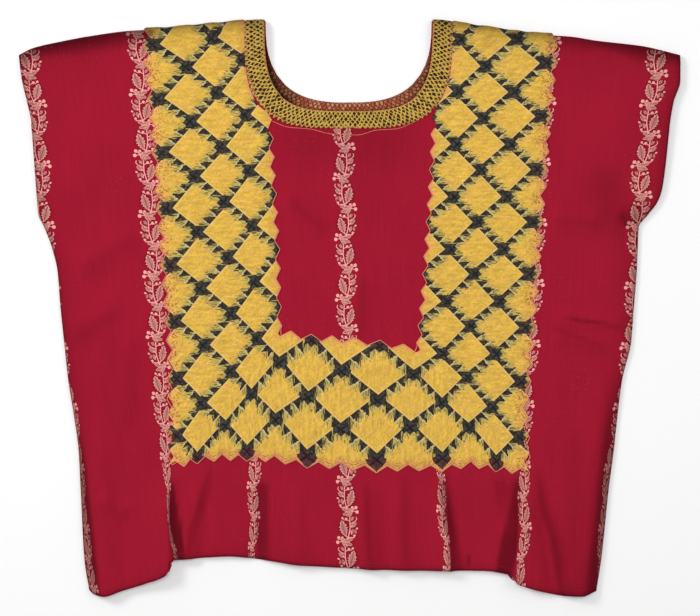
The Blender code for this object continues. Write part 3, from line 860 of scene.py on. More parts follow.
def end_group(tree, **outputs):
    """Gives a node group an output for each name and its wire."""
    end = tree.nodes.new("NodeGroupOutput")
    for label, wire in outputs.items():
        tree.interface.new_socket(label, in_out="OUTPUT", socket_type="NodeSocketFloat")
        tree.links.new(wire.socket, end.inputs[label])


def use_group(tree, name, **inputs):
    """Places a node group and returns the wires of its outputs by name."""
    node = add_node(tree, "ShaderNodeGroup", node_tree=bpy.data.node_groups[name])
    for label, value in inputs.items():
        feed(node.inputs[label], value)
    return {socket.name: Wire(tree, socket) for socket in node.outputs}


def new_finish(name, specular, sheen=0.0, roughness=0.5):
    """A material, its tree and its Principled shader with the constants set."""
    made = bpy.data.materials.new(name)
    made.use_nodes = True
    shader = made.node_tree.nodes["Principled BSDF"]
    shader.inputs["Roughness"].default_value = roughness
    shader.inputs["Specular IOR Level"].default_value = specular
    shader.inputs["Sheen Weight"].default_value = sheen
    return made, made.node_tree, shader


def lay_finish(shader, colour, roughness, height, depth):
    """Links a colour, a roughness and a bump, as high as `depth` millimetres where height is 1."""
    feed(shader.inputs["Base Color"], colour)
    feed(shader.inputs["Roughness"], roughness)
    inputs = {"Height": height, "Distance": depth * MM}
    feed(shader.inputs["Normal"], add_node(height.tree, "ShaderNodeBump", inputs).outputs[0])


def map_places(tree, label):
    """The two numbers of a UV map, in millimetres."""
    node = add_node(tree, "ShaderNodeUVMap", uv_map=label)
    return parts(vector_math(tree, "SCALE", node.outputs[0], 1.0 / MM))[:2]


def own_places(tree):
    """Object coordinates in millimetres: the two that lie along the floor."""
    node = tree.nodes.new("ShaderNodeTexCoord")
    return parts(vector_math(tree, "SCALE", node.outputs["Object"], 1.0 / MM))[:2]


# -------------------------------- the cotton and its print

Leaf = namedtuple("Leaf", "x y length width turn teeth")  # length and width are halves
LEAVES = listed(  # of the half of the motif whose berries lie to the left, flower head at y 0
    Leaf,
    (-4.3, 14.9, 8.9, 5.3, 107, 0.6), (-0.2, 2.4, 6.8, 2.7, 12, 0.4),
    (-0.8, -0.8, 6.6, 2.6, -16, 0.4), (-3.4, -2.1, 4.6, 2.2, -48, 0.4),
    (-5.4, 3.0, 3.8, 2.2, 128, 0.2), (7.5, 18.5, 4.2, 2.3, 35, 0.3),
    (5.6, 11.2, 3.2, 1.5, 70, 0.0), (9.4, 11.6, 2.4, 1.2, 110, 0.0),
    (6.2, 25.2, 2.8, 1.4, 50, 0.0),
)
Stem = namedtuple("Stem", "x0 y0 x1 y1 width")  # width is half the line's
STEMS = listed(
    Stem,
    (3.0, 26.9, 3.4, 15.5, 0.55), (3.4, 15.5, 2.2, 9.9, 0.55), (2.2, 9.9, 0.2, 3.5, 0.6),
    (-1.3, 6.9, 0.6, 5.2, 0.6), (0.4, 5.6, 7.2, 5.2, 0.5), (7.2, 5.2, 9.2, 7.8, 0.5),
    (7.8, 7.3, 7.9, 7.4, 1.2), (10.8, 14.6, 11.6, 15.0, 0.9), (3.4, 16.0, 6.0, 17.4, 0.45),
    (3.4, 12.6, 5.0, 9.4, 0.4), (-10.3, 5.2, -10.2, 5.2, 1.8), (-11.6, 0.6, -11.5, 0.6, 1.9),
    (-10.3, 4.6, -6.0, 2.6, 0.4), (-11.0, 0.8, -6.4, 1.4, 0.4), (-6.0, 5.4, -5.9, 5.4, 1.2),
    (-1.3, 24.6, -1.2, 24.6, 1.5), (-1.2, 24.4, 3.0, 22.4, 0.4), (-5.6, 25.6, -5.5, 25.6, 1.2),
    (-5.4, 25.2, -3.2, 23.4, 0.35), (9.5, 22.4, 11.2, 24.6, 0.45), (11.2, 24.6, 10.4, 27.0, 0.45),
    (3.3, 19.5, 9.5, 22.4, 0.4),
)
MOTIF_FOOT = 4.6  # how far the motif reaches below its flower head
WEAVE_THREAD = 0.55
SPECK_GRID = (9.0, 7.0)
STIPPLE = 0.8
PRINT_LIFT = 1.2  # how thick the print lies, in threads of the weave
ORIGIN = (0.0, 0.0, 0.0)


def make_leaf_group():
    """A leaf pointed at both ends: half its width is what is left of 1 less length squared."""
    tree, (point, centre, turn, length, width, teeth) = begin_group(
        "Leaf Shape", Point=ORIGIN, Centre=ORIGIN, Turn=0.0, Length=8.0, Width=4.0, Teeth=0.0
    )
    inputs = {"Vector": point, "Center": centre, "Angle": turn * -1.0}
    spun = add_node(tree, "ShaderNodeVectorRotate", inputs, rotation_type="Z_AXIS")
    run, side, _ = parts(vector_math(tree, "SUBTRACT", spun.outputs[0], centre))
    run, side = run / length, abs(side / width)
    notch = abs((run * 3.0 + side * 0.8).part() * 2.0 - 1.0) * teeth
    inside = 1.0 - run * run - side * (notch + 1.0)
    fill = rising(inside, -0.04, 0.06)
    vein = rising(0.09 - side, -0.02, 0.04) * run.over(-0.9)
    mesh = rising((run * 8.0 + side * 4.0).part() * side.over(0.1), 0.6, 0.8)
    outline = fill - rising(inside, 0.14, 0.26)
    near = rising(inside, -0.9, 0.0)
    end_group(tree, Fill=fill, Line=outline, Vein=highest(vein, mesh * 0.7) * fill, Near=near)


def make_stem_group():
    """A stroke with round ends: all points within a distance of a straight line."""
    tree, (point, start, end, width) = begin_group(
        "Stem Shape", Point=ORIGIN, Start=ORIGIN, End=(1.0, 0.0, 0.0), Width=0.5
    )
    line = vector_math(tree, "SUBTRACT", end, start)
    reach = vector_math(tree, "SUBTRACT", point, start)
    shared = Wire(tree, vector_math(tree, "DOT_PRODUCT", reach, line, "Value"))
    whole = Wire(tree, vector_math(tree, "DOT_PRODUCT", line, line, "Value"))
    share = (shared / whole).math("MINIMUM", 1.0).math("MAXIMUM", 0.0)
    foot = vector_math(tree, "SCALE", line, share)
    inside = width - Wire(tree, vector_math(tree, "DISTANCE", reach, foot, "Value"))
    end_group(tree, Line=rising(inside, -0.22, 0.22), Near=rising(inside, -1.3, 0.0))


def make_vine_group():
    """The vine: one half motif of leaves and stems, mirrored from each half repeat to the next."""
    tree, (across, along) = begin_group("Vine Print", Across=0.0, Along=0.0)
    raised = (along + MOTIF_FOOT) / HALF_REPEAT
    half = raised.math("FLOOR")
    side = 1.0 - half.math("FLOORED_MODULO", 2.0) * 2.0
    point = vector(across * side, along - half * HALF_REPEAT)
    shapes = []
    for leaf in LEAVES:
        place = {"Centre": (leaf.x, leaf.y, 0.0), "Turn": np.radians(leaf.turn)}
        sizes = {"Length": leaf.length, "Width": leaf.width, "Teeth": leaf.teeth}
        shapes.append(use_group(tree, "Leaf Shape", Point=point, **place, **sizes))
    for stem in STEMS:
        ends = {"Start": (stem.x0, stem.y0, 0.0), "End": (stem.x1, stem.y1, 0.0)}
        shapes.append(use_group(tree, "Stem Shape", Point=point, Width=stem.width, **ends))
    masks = {
        name: highest(*(shape[name] for shape in shapes if name in shape))
        for name in ("Fill", "Line", "Vein", "Near")
    }
    end_group(tree, **masks)


def make_weave_group():
    """Plain weave: round threads that pass over and under, with slubs and an uneven dye."""
    tree, (across, along, thread) = begin_group("Plain Weave", Across=0.0, Along=0.0, Thread=0.5)
    warp, weft = across / thread, along / thread
    over = (warp.math("FLOOR") + weft.math("FLOOR")).math("FLOORED_MODULO", 2.0)
    warp_round, weft_round = abs((warp * np.pi).math("SINE")), abs((weft * np.pi).math("SINE"))
    height = warp_round * over + weft_round * (1.0 - over)
    slubs = noise(across * 0.6, along * 0.016, 3.0) * 0.24
    cross = noise(across * 0.02, along * 0.8, 2.0) * 0.09
    dye = noise(across * 0.018, along * 0.013, 3.0) * 0.16
    end_group(tree, Height=height, Tone=slubs + cross + dye + 1.0)


def print_vine(settings, ground, tone, stipple):
    """The vine in pink on the ground, with a darker rim round it, and how high it lies."""
    across, along = map_places(tone.tree, "vine")
    vine = use_group(tone.tree, "Vine Print", Across=across, Along=along)
    fill, line = toned(settings.leaf_pink, tone), toned(settings.line_pink, tone)
    dark = toned(settings.red, tone * 0.8)
    colour = toned(ground, 1.0 - vine["Near"] * 0.4)
    colour = blend(vine["Fill"], colour, fill)
    colour = blend(highest(vine["Vein"] * 0.85, stipple * vine["Fill"] * 0.4), colour, dark)
    colour = blend(vine["Line"], colour, line)
    return colour, highest(vine["Fill"], vine["Line"]) * PRINT_LIFT


def make_cotton(settings, printed):
    """The crimson cotton, plain or with a vine stripe, darker where shade is painted in."""
    name = "printed_cotton_vine" if printed else "printed_cotton"
    made, tree, shader = new_finish(name, 0.05, 0.015)
    across, along = map_places(tree, "cut")
    # painted shade of the folds, pleats and edges: the share of light that is kept
    kept = map_places(tree, "wear")[0]
    weave = use_group(tree, "Plain Weave", Across=across, Along=along, Thread=WEAVE_THREAD)
    speck_place = vector(across / SPECK_GRID[0], along / SPECK_GRID[1])
    inputs = {"Vector": speck_place, "Scale": 1.0, "Randomness": 0.9}
    specks = add_node(tree, "ShaderNodeTexVoronoi", inputs, voronoi_dimensions="2D")
    speck = 1.0 - rising(Wire(tree, specks.outputs["Distance"]), 0.05, 0.13)
    speck = speck * rising(noise(across * 0.02, along * 0.02), 0.05, 0.3)
    # painted shade at the scale of the weave: its hollows darker than its raised threads
    tone = (weave["Tone"] + weave["Height"] * 0.12 - 0.08) * kept
    colour = toned(settings.red, tone)
    colour = blend(speck * 0.05, colour, settings.line_pink)
    height = weave["Height"]
    if printed:
        stipple = chance(across / STIPPLE, along / STIPPLE).over(0.72)
        colour, lift = print_vine(settings, colour, tone, stipple)
        height = height + lift
    shader.inputs["Sheen Tint"].default_value = (0.35, 0.03, 0.06, 1.0)
    lay_finish(shader, colour, weave["Height"] * -0.08 + 0.9, height, 0.07)
    return made


# -------------------------------- the threads

ROW_PITCH = 1.3  # between two rows of chain stitch
STITCH_RUN = 3.0
STRAND_HALF = 0.12  # half the width of a dark strand, in lattice rows
FLAME_STARTS = (0.0, 0.245, 0.51)  # along a strand from its sharp corner
FLAMES_END = 0.76  # where the next knot starts
FOOT_KNOTS = (7.42, 7.6)  # the rows between which the lowest knots spread into the teeth
FOOT_KNOT_GROWTH = 0.09
STRAND_ENDS = (7.5, 7.56)  # the rows between which the strands stop short of the feet
LEFT_CORNER = 7.5  # q past which the rows of the left half stand upright
RIGHT_CORNER = 1.5  # p past which the rows of the right half do
HATCH = (0.85, 4.6)  # sizes of the grids that set single stitches apart
FRAY = (1.2, 8.0)
FINE_STITCH = (0.9, 1.3)
LEFT_WEAR = (0.0, 1.1)  # the columns and rows between which wear grows towards the yoke's edges
RIGHT_WEAR = (11.3, 12.2)
FOOT_WEAR = (6.9, 7.4)
WORN_PITCH = 2.3  # between two worn lines along the teeth
INNER_ROWS = 6.2  # the row above which knots near an edge are the inner edge's
FLAME_LEG = 0.247  # both legs of a flame: along the strand's edge, and across the strand


def cells(across, along, size):
    """A number from 0 to 1 for each cell of a grid, from the cells' two sizes in millimetres."""
    return chance(across / size[0], along / size[1])


def make_rows_group():
    """Rows of chain stitch: round ridges, pinched at each stitch's end, uneven in tone."""
    tree, (across, along, pitch, stitch) = begin_group(
        "Stitch Rows", Across=0.0, Along=0.0, Pitch=ROW_PITCH, Stitch=STITCH_RUN
    )
    place = across / pitch
    lift = place.part() * 2.0 - 1.0
    ridge = 1.0 - lift * lift
    start = chance(place, place * 0.0)
    run = (along / stitch + start).part() * 2.0 - 1.0
    pinch = 1.0 - run * run * run * run
    tone = chance(place, along / 7.0 + start) * 0.14 + noise(across * 0.3, along * 0.08)
    end_group(tree, Height=ridge * (pinch * 0.6 + 0.4), Tone=tone * 0.6 + 0.96)


def make_flame_group():
    """The flames of a strand, which fill its squares by half.

    A flame is a right-angled triangle. One leg lies on the strand's crisp edge, one crosses the
    strand at the flame's start, and the long side runs with the stitches, which fray it. Depth
    counts from the crisp edge, Run from the sharp corner, Fray moves each stitch a little.
    """
    tree, (run, depth, fray, hatch) = begin_group(
        "Flames", Run=0.0, Depth=0.0, Fray=0.0, Hatch=0.5
    )
    moved = run + fray
    second, third = (moved.over(start) for start in FLAME_STARTS[1:])
    start = second * FLAME_STARTS[1] + third * (FLAME_STARTS[2] - FLAME_STARTS[1])
    loose = hatch - 0.5
    level = run + depth - start + loose * 0.095
    rooted = rising(depth, -0.006, 0.01)
    dark = rising(FLAME_LEG - level, -0.012, 0.012) * rooted
    inside = rooted * (1.0 - rising(depth + loose * 0.15, 0.21, 0.27))
    olive = inside * rising(level, 0.2, 0.25)
    edge_line = rising(0.014 - abs(depth + 0.014), -0.008, 0.008)
    edge_line = edge_line * run.over(0.0) * run.under(FLAMES_END)
    cross = [
        rising(0.013 - abs(moved - (place - 0.013)), -0.008, 0.008) for place in FLAME_STARTS[1:]
    ]
    pale = highest(edge_line * 0.6, highest(*cross) * inside)
    end_group(tree, Dark=dark, Olive=olive, Pale=pale)


def run_along(number, half, corner):
    """How far a place is along its square of a strand, from the sharp corner.

    number counts the strands that cross this one. Where half is 1 it grows the other way up to
    the strand with the number `corner`, and there it starts from both ends.
    """
    part = number.part()
    before, after = corner - 0.5, corner + 0.5
    run = chosen(half * number.under(before), part, 1.0 - part)
    at_corner = half * number.over(before) * number.under(after)
    return chosen(at_corner, part.math("MINIMUM", 1.0 - part), run)


def make_lattice_group():
    """The yoke's design: dark knots at the crossings and flames along the strands.

    p and q count the two families of slanting strands. Each diamond has one sharp corner that
    points out of the yoke, and the flames start from there along the two edges that meet in it.
    """
    tree, (column, row, fray, hatch) = begin_group(
        "Diamond Lattice", Column=0.0, Row=0.0, Fray=0.0, Hatch=0.5
    )
    p, q = strand_numbers(column, row)
    off_p, off_q = p - p.math("ROUND"), q - q.math("ROUND")
    right = column.over(MIDDLE_COLUMN)
    left = 1.0 - right
    turn_q = 1.0 - left * q.under(LEFT_CORNER) * 2.0
    turn_p = 1.0 - right * p.under(RIGHT_CORNER) * 2.0
    strands = [
        use_group(tree, "Flames", Run=run - STRAND_HALF, Depth=depth, Fray=fray, Hatch=hatch)
        for run, depth in (
            (run_along(p, right, RIGHT_CORNER), off_q * turn_q + STRAND_HALF),
            (run_along(q, left, LEFT_CORNER), off_p * turn_p + STRAND_HALF),
        )
    ]
    knot_place = highest(abs(off_p), abs(off_q)) + (hatch - 0.5) * 0.01
    grown = rising(row, *FOOT_KNOTS) * FOOT_KNOT_GROWTH
    knot = rising(STRAND_HALF + 0.002 + grown - knot_place, -0.006, 0.008)
    crossing = knot * rising(0.026 - abs(off_p).math("MINIMUM", abs(off_q)), -0.008, 0.008)
    above = 1.0 - rising(row, *STRAND_ENDS)
    dark, olive, pale = (
        highest(*(strand[name] for strand in strands)) * above for name in ("Dark", "Olive", "Pale")
    )
    off_knot = 1.0 - knot
    olive, pale = olive * off_knot, pale * off_knot
    end_group(tree, Dark=highest(dark, knot), Knot=knot, Crossing=crossing, Olive=olive, Pale=pale)


def yellow_stitches(settings, across, along, fine, tone):
    """Yellow with golden patches, and with single stitches that are peach or lime."""
    mottle = rising(noise(along * 0.35, across * 0.6, 3.0), -0.25, 0.25)
    colour = blend(mottle * 0.8, settings.yellow, settings.gold)
    colour = blend(fine.over(0.82) * 0.42, colour, settings.peach)
    colour = blend(fine.under(0.2) * 0.55, colour, settings.lime)
    knotty = cells(along, across, (1.1, 1.2))
    return toned(colour, tone * (knotty * 0.2 + 0.9))


def olive_stitches(settings, across, along, fine, yellow):
    """Olive with streaks of dark and of yellow."""
    colour = toned(settings.olive, fine * 0.4 + 0.8)
    streak = cells(across, along, (0.8, 3.2))
    colour = blend(streak.over(0.66) * 0.7, colour, settings.dark_brown)
    return blend(streak.under(0.2) * 0.45, colour, yellow)


def dark_stitches(settings, across, along, fine, design, tips):
    """Dark strands, and knots that are lighter off their crossings and maroon at the tips."""
    strand = blend(fine * 0.7, settings.dark, settings.dark_brown)
    knot = blend(fine * 0.35, settings.dark, settings.dark_brown)
    knot = blend(tips * 0.75, knot, settings.maroon)
    knot = toned(knot, 1.9 - design["Crossing"] * 1.2)
    colour = blend(design["Knot"], strand, knot)
    return toned(colour, cells(across, along, (1.0, 1.8)) + 0.45)


def wear_of_edges(column, row, inward, level, x, y):
    """Where the yoke's edges are bare, where they are pale, and which knots are its tips.

    Bare are broken lines that follow the teeth, and specks in the arms. All of it fades with the
    distance inside the teeth, and more of it is at the outer edges than at the inner ones.
    """
    ragged = noise(x * 0.15, y * 0.15, 2.0)
    left_wear, right_wear = 1.0 - rising(column, *LEFT_WEAR), rising(column, *RIGHT_WEAR)
    outer = highest(left_wear, rising(row, *FOOT_WEAR), right_wear)
    frayed = outer * 0.7 + 0.3
    line = (inward / WORN_PITCH).part()
    gap = rising(line, 0.42, 0.52) * (1.0 - rising(line, 0.84, 0.92))
    broken = cells(x + y, x - y, (2.2, 1.6))
    near = 1.0 - rising(inward + ragged * 7.0, 2.0, 9.5)
    arm_edge = highest(left_wear, right_wear) * level
    worn = gap * near * frayed * broken.over(0.32) * (1.0 - arm_edge * broken.under(0.8))
    speck = cells(x, y, (1.5, 1.1)).over(0.8) * cells(x, y, (6.0, 6.0)).over(0.35)
    speck = speck * outer * level * (1.0 - rising(inward + ragged * 12.0, 5.0, 19.0))
    pale = highest(near * frayed * 0.3, 0.6 - rising(inward, 0.8, 2.6) * 0.6)
    tips = (1.0 - rising(inward, 7.0, 15.0)) * highest(outer, row.under(INNER_ROWS) * 0.6)
    return highest(worn, speck), pale, tips * (1.0 - level * 0.8)


def make_yoke_finish(settings):
    """Golden chain stitch with the dark lattice, rows level in the arms and upright below.

    The map "edge" holds how far a place lies inside the toothed edges, and its share of light.
    """
    made, tree, shader = new_finish("yoke_thread", 0.08, 0.03)
    column, row = map_places(tree, "lattice")
    inward, kept = map_places(tree, "edge")
    x, y = own_places(tree)
    p, q = strand_numbers(column, row)
    right = column.over(MIDDLE_COLUMN)
    low = (1.0 - right) * q.over(LEFT_CORNER) + right * p.over(RIGHT_CORNER)
    level = 1.0 - low
    across, along = y * level + x * low, x * level + y * low
    stitches = use_group(tree, "Stitch Rows", Across=across, Along=along)
    hatch = cells(across, along, HATCH)
    fray = (cells(across, along, FRAY) - 0.5) * 0.03 + noise(x * 0.2, y * 0.2, 2.0) * 0.025
    design = use_group(tree, "Diamond Lattice", Column=column, Row=row, Fray=fray, Hatch=hatch)
    fine = cells(across, along, FINE_STITCH)
    rows = chance(q * 26.0, p * 3.0) * 0.12 + 0.94
    bare, pale, tips = wear_of_edges(column, row, inward, level, x, y)
    bare = bare * (1.0 - design["Dark"] * 0.85)
    lost = cells(across, along, (0.8, 1.6)).over(0.9) * (1.0 - design["Knot"])
    yellow = yellow_stitches(settings, across, along, fine, stitches["Tone"] * rows)
    olive = olive_stitches(settings, across, along, fine, yellow)
    dark = dark_stitches(settings, across, along, fine, design, tips)
    colour = blend(pale, yellow, settings.thread_pale)
    colour = blend(design["Olive"] * 0.92, colour, olive)
    colour = blend(design["Dark"] * (1.0 - lost * 0.14), colour, dark)
    colour = blend(design["Pale"] * 0.65, colour, settings.cream)
    # painted shade below the shoulder line, from the map "edge"
    colour = toned(blend(bare * 0.75, colour, settings.fleck), kept)
    height = stitches["Height"] * 0.7 - design["Pale"] * 0.5 + fine * 0.5 - bare * 1.5
    lay_finish(shader, colour, stitches["Height"] * -0.12 + 0.82, height, 0.13)
    return made


def make_band_finish(name, colours, cell, lined):
    """A worked band of two families of slanted threads, which leave small dark openings.

    colours are the threads', the openings', a second thread's and the rim's. A lined band shows
    the dark between its threads as lines, and the other one as openings of uneven size.
    """
    light, dark, tint, rim_colour = colours
    made, tree, shader = new_finish(name, 0.08, 0.03)
    along, across = map_places(tree, "band")
    kept = map_places(tree, "gap")[0]
    wander = noise(along * 0.1, across * 0.25, 2.0) * 3.4
    slant = noise(along * 0.07 + 7.0, across * 0.2, 2.0) * 3.4
    fine = cells(along + across, along - across, (0.9, 2.2))
    up_place = (along + across * BAND_SLANT + wander) / cell
    down_place = (along - across * BAND_SLANT + slant) / cell
    own = chance(up_place, down_place)
    lift_up, lift_down = (1.0 - abs(place.part() * 2.0 - 1.0) for place in (up_place, down_place))
    patch = noise(along * 0.09, across * 0.2, 3.0)
    if lined:
        hole = rising(highest(1.0 - lift_up, 1.0 - lift_down) + patch * 0.3, 0.56, 0.86) * 0.92
        tint_share = rising(own * 0.5 + patch + 0.25, 0.3, 0.7)
    else:
        limit = (own - 0.5) * 0.42
        hole = rising(lift_up.math("MINIMUM", lift_down) - limit, 0.3, 0.44)
        tint_share = rising(own + patch, 0.3, 0.7) * 0.9
    colour = blend(tint_share, light, tint)
    colour = toned(colour, patch * 0.7 + 1.0)
    colour = blend(fine.over(0.86) * 0.5, colour, rim_colour)
    colour = toned(colour, fine * 0.5 + 0.75 - lift_up * 0.15)
    colour = blend(hole, colour, dark)
    fringe = rising(across, BAND_WIDTH_SIDE * 0.86, BAND_WIDTH_SIDE * 0.95) * fine.over(0.4)
    rim_share = highest(1.0 - rising(across + wander * 0.15, 0.7, 1.8), fringe * 0.8)
    colour = blend(rim_share * 0.75, colour, rim_colour)
    # painted shade: below the shoulder fold, and on the back band also under the front's edge and at
    # its ends
    colour = toned(colour, kept)
    ridge = lift_up.math("MAXIMUM", lift_down) * -0.6 - hole
    lay_finish(shader, colour, fine * 0.1 + 0.74, ridge, 0.35)
    return made


def make_thread_finish(name, colour):
    """A twisted thread: light and dark plies that wind round it."""
    made, tree, shader = new_finish(name, 0.12, 0.05)
    run, turn = map_places(tree, "thread")
    ply = (run / 1.1 + turn * 2.0).part()
    lift = 1.0 - abs(ply * 2.0 - 1.0)
    tone = lift * 0.25 + noise(run * 0.2, 0.0) * 0.2 + 0.88
    lay_finish(shader, toned(colour, tone), 0.8 - lift * 0.15, lift, 0.08)
    return made


# -------------------------------- settings


def shade(name, description, colour):
    """A colour setting, in linear light."""
    return FloatVectorProperty(
        name=name, description=description, subtype="COLOR", size=3, min=0.0, max=1.0, default=colour
    )


def size(name, description, usual, least, most, unit="LENGTH"):
    """A size setting, in metres unless it has another unit."""
    return FloatProperty(
        name=name, description=description, default=usual, min=least, max=most, unit=unit
    )


class ClothSettings(PropertyGroup):
    """The printed cotton."""

    wall: size("Cloth", "Thickness of the cotton", 0.0006, 0.0002, 0.0012)
    hem: size("Hem", "Width of the turned hem", 0.0078, 0.003, 0.02)
    red: shade("Cotton", "Crimson ground", (0.352, 0.0088, 0.0285))
    leaf_pink: shade("Leaves", "Print inside the leaves", (0.59, 0.285, 0.235))
    line_pink: shade("Lines", "Stems, berries and leaf outlines", (0.98, 0.41, 0.37))


class StitchingSettings(PropertyGroup):
    """The threads of the yoke, the neck bands and the seams."""

    pile: size("Pile", "Height of the thickest chain stitch", 0.002, 0.0005, 0.003)
    band_pile: size("Band pile", "Height of the worked neck band", 0.0011, 0.0004, 0.002)
    outline: size("Outline", "Thickness of the thread on the yoke's teeth", 0.0008, 0.0004, 0.002)
    yellow: shade("Yellow", "Chain stitch in the light", (0.770, 0.468, 0.062))
    gold: shade("Gold", "Chain stitch in the shade", (0.650, 0.370, 0.060))
    peach: shade("Peach", "Single stitches that have faded", (0.78, 0.37, 0.21))
    lime: shade("Lime", "Single stitches that have kept more green", (0.60, 0.50, 0.05))
    olive: shade("Olive", "Where dark and yellow thread mix", (0.42, 0.37, 0.12))
    maroon: shade("Maroon", "The knots at the yoke's edge", (0.046, 0.0135, 0.0175))
    dark: shade("Dark", "The lattice's knots", (0.018, 0.023, 0.022))
    dark_brown: shade("Dark brown", "The lattice's flames", (0.060, 0.036, 0.028))
    cream: shade("Cream", "Fine guide lines between the flames", (0.80, 0.64, 0.33))
    thread_pale: shade("Pale", "The thread along the teeth", (0.80, 0.29, 0.155))
    fleck: shade("Fleck", "Ground and stray thread between stitches", (0.36, 0.06, 0.03))
    guide: shade("Guide", "The thin line below the neck band", (0.78, 0.30, 0.16))
    band_light: shade("Band", "Neck band, light thread", (0.68, 0.42, 0.085))
    band_olive: shade("Band olive", "Neck band, dull thread", (0.50, 0.34, 0.060))
    band_hole: shade("Band opening", "Neck band, between the threads", (0.030, 0.018, 0.007))
    band_rim: shade("Band rim", "Neck band, its whipped edge", (0.66, 0.30, 0.10))
    back_light: shade("Wrong side", "Back band's wrong side", (0.42, 0.10, 0.045))
    back_tint: shade("Wrong side tint", "Back band's second thread", (0.68, 0.28, 0.13))
    back_hole: shade("Wrong side opening", "Between its threads", (0.12, 0.022, 0.012))
    back_rim: shade("Wrong side rim", "Its edge at the nape", (0.17, 0.12, 0.045))


class StageSettings(PropertyGroup):
    """The floor, the light and the camera."""

    view_width: size("View width", "Width that the camera sees at the cloth", 0.728, 0.3, 3.0)
    lens: size("Lens", "Focal length", 85.0, 35.0, 200.0, "CAMERA")
    floor: shade("Floor", "Pale floor", (0.96, 0.96, 0.96))
    sky: size("Sky", "Strength of the even light", 0.42, 0.0, 3.0, "NONE")
    lamps: size("Lamps", "Power of the soft lamps", 19.0, 0.0, 200.0, "NONE")


# -------------------------------- the cloth

CLOTH_SIDE_COLUMNS = 84
CLOTH_NECK_COLUMNS = 62
FRONT_BESIDE_NECK = 18
FRONT_BELOW = 138
BACK_BESIDE_NECK = 6
BACK_BELOW = 26
HEM_RISE = 0.45  # how much higher the doubled hem lies
HEM_EDGE = 1.4  # width over which it steps down
SLEEVE_HEM_FADE = 20.0  # height over which it starts above the side seams


def panel_above(neck, depths, inset):
    """x and y of a panel's rows beside the neck.

    The columns run evenly from the sleeve edge to the neckline and across the hole, and the last
    row follows the neckline's bottom.
    """
    share = np.linspace(0.0, 1.0, CLOTH_SIDE_COLUMNS + 1)
    half = neck_half_width(neck, depths)
    left_end = edge("left", SECTIONS[0].y - depths) + inset
    right_end = edge("right", SECTIONS[0].y - depths) - inset
    left = left_end + (NECK_CENTRE - half - left_end) * share
    right = NECK_CENTRE + half + (right_end - NECK_CENTRE - half) * share
    hole = np.linspace(-1.0, 1.0, CLOTH_NECK_COLUMNS + 1)[1:-1] * half + NECK_CENTRE
    x = np.concatenate([left, hole, right], axis=1)
    y = rim(SHOULDER, x) - depths
    bottom = slice(CLOTH_SIDE_COLUMNS, CLOTH_SIDE_COLUMNS + CLOTH_NECK_COLUMNS + 1)
    x[-1, bottom], y[-1, bottom] = neck_bottom(neck, CLOTH_NECK_COLUMNS)
    return x, y


def panel_below(start_x, start_y, rows, inset):
    """x and y of a panel's rows below the neck: straight down to the hem, evenly spread there."""
    start_share = (start_x - start_x[0]) / (start_x[-1] - start_x[0])
    end_share = np.linspace(0.0, 1.0, len(start_x))
    hem_left, hem_right = SECTIONS[-1].left + inset, SECTIONS[-1].right - inset
    hem_y = rim(HEM, hem_left + (hem_right - hem_left) * end_share) + inset
    t = np.linspace(0.0, 1.0, rows + 1)[1:, None]
    y = start_y + (hem_y - start_y) * t
    left, right = edge("left", y[:, :1]) + inset, edge("right", y[:, -1:]) - inset
    return left + (right - left) * (start_share + (end_share - start_share) * t), y


def panel_plan(neck, rows_beside_neck, rows_below, inset):
    """x and depth below the shoulder line for a panel's grid, and the row of the neck's bottom."""
    beside = np.linspace(FOLD_DEPTH, neck_corner_depth(neck), rows_beside_neck + 1)[1:]
    depths = np.concatenate([turn_depths(), beside])[:, None]
    above_x, above_y = panel_above(neck, depths, inset)
    below_x, below_y = panel_below(above_x[-1], above_y[-1], rows_below, inset)
    x, y = np.vstack([above_x, below_x]), np.vstack([above_y, below_y])
    return x, rim(SHOULDER, x) - y, len(depths) - 1


def for_each_stripe(table, y):
    """A table of the stripes read at the heights y, one array for each stripe."""
    heights = column_of(table, "y")
    return [flowing(y, heights, column_of(table, name)) for name in Stripes._fields[1:]]


def cut_across(x, y):
    """Where a laid point lies across the flat cloth, worked out between the stripes' lines."""
    lines = for_each_stripe(STRIPES, y)
    across = -3 * STRIPE_PITCH + np.minimum(x - lines[0], 0) + np.maximum(x - lines[-1], 0)
    for left, right in zip(lines[:-1], lines[1:]):
        across = across + STRIPE_PITCH * np.clip((x - left) / (right - left), 0.0, 1.0)
    return across


def stripe_width(stripe, y):
    """How much of its width a stripe shows at the heights y; stripes count from the middle one."""
    return np.choose(stripe + 3, for_each_stripe(STRIPE_WIDTHS, y))


def vine_places(cut, front_y):
    """How far points lie across and along the vine of their nearest stripe.

    cut holds their places on the flat cloth. front_y is the height of the first rows of them,
    the front's, where the pleats make the stripes narrower.
    """
    stripe = np.clip(np.round(cut[..., 0] / STRIPE_PITCH), -3, 3).astype(int)
    width = np.ones(stripe.shape)
    width[: len(front_y)] = stripe_width(stripe[: len(front_y)], front_y)
    across = (cut[..., 0] - STRIPE_PITCH * stripe) / width
    return across, cut[..., 1] - VINE_START + np.array(STRIPE_PHASES)[stripe + 3]


def cut_along(x, depth, front):
    """Where a laid point lies along the flat cloth, which runs on over the shoulder fold."""
    turn = np.arccos(1.0 - np.clip(depth / FOLD_DEPTH, 0.0, 1.0)) / (np.pi / 2)
    run = np.maximum(depth - FOLD_DEPTH, 0.0) + FOLD_ARC * turn
    fold = rim(SHOULDER, x) - FOLD_DEPTH + FOLD_ARC
    return fold - run if front else fold + run


def hem_step(x, y, width):
    """How much the turned hems add to the face: a low step along the hem and the sleeve edges."""
    sleeve = 1.0 - smooth((inside_sides(x, y) - width) / HEM_EDGE)
    sleeve = sleeve * smooth((y - ARMHOLE_FOOT) / SLEEVE_HEM_FADE)
    foot = 1.0 - smooth((y - rim(HEM, x) - width) / HEM_EDGE)
    return HEM_RISE * np.maximum(sleeve, foot)


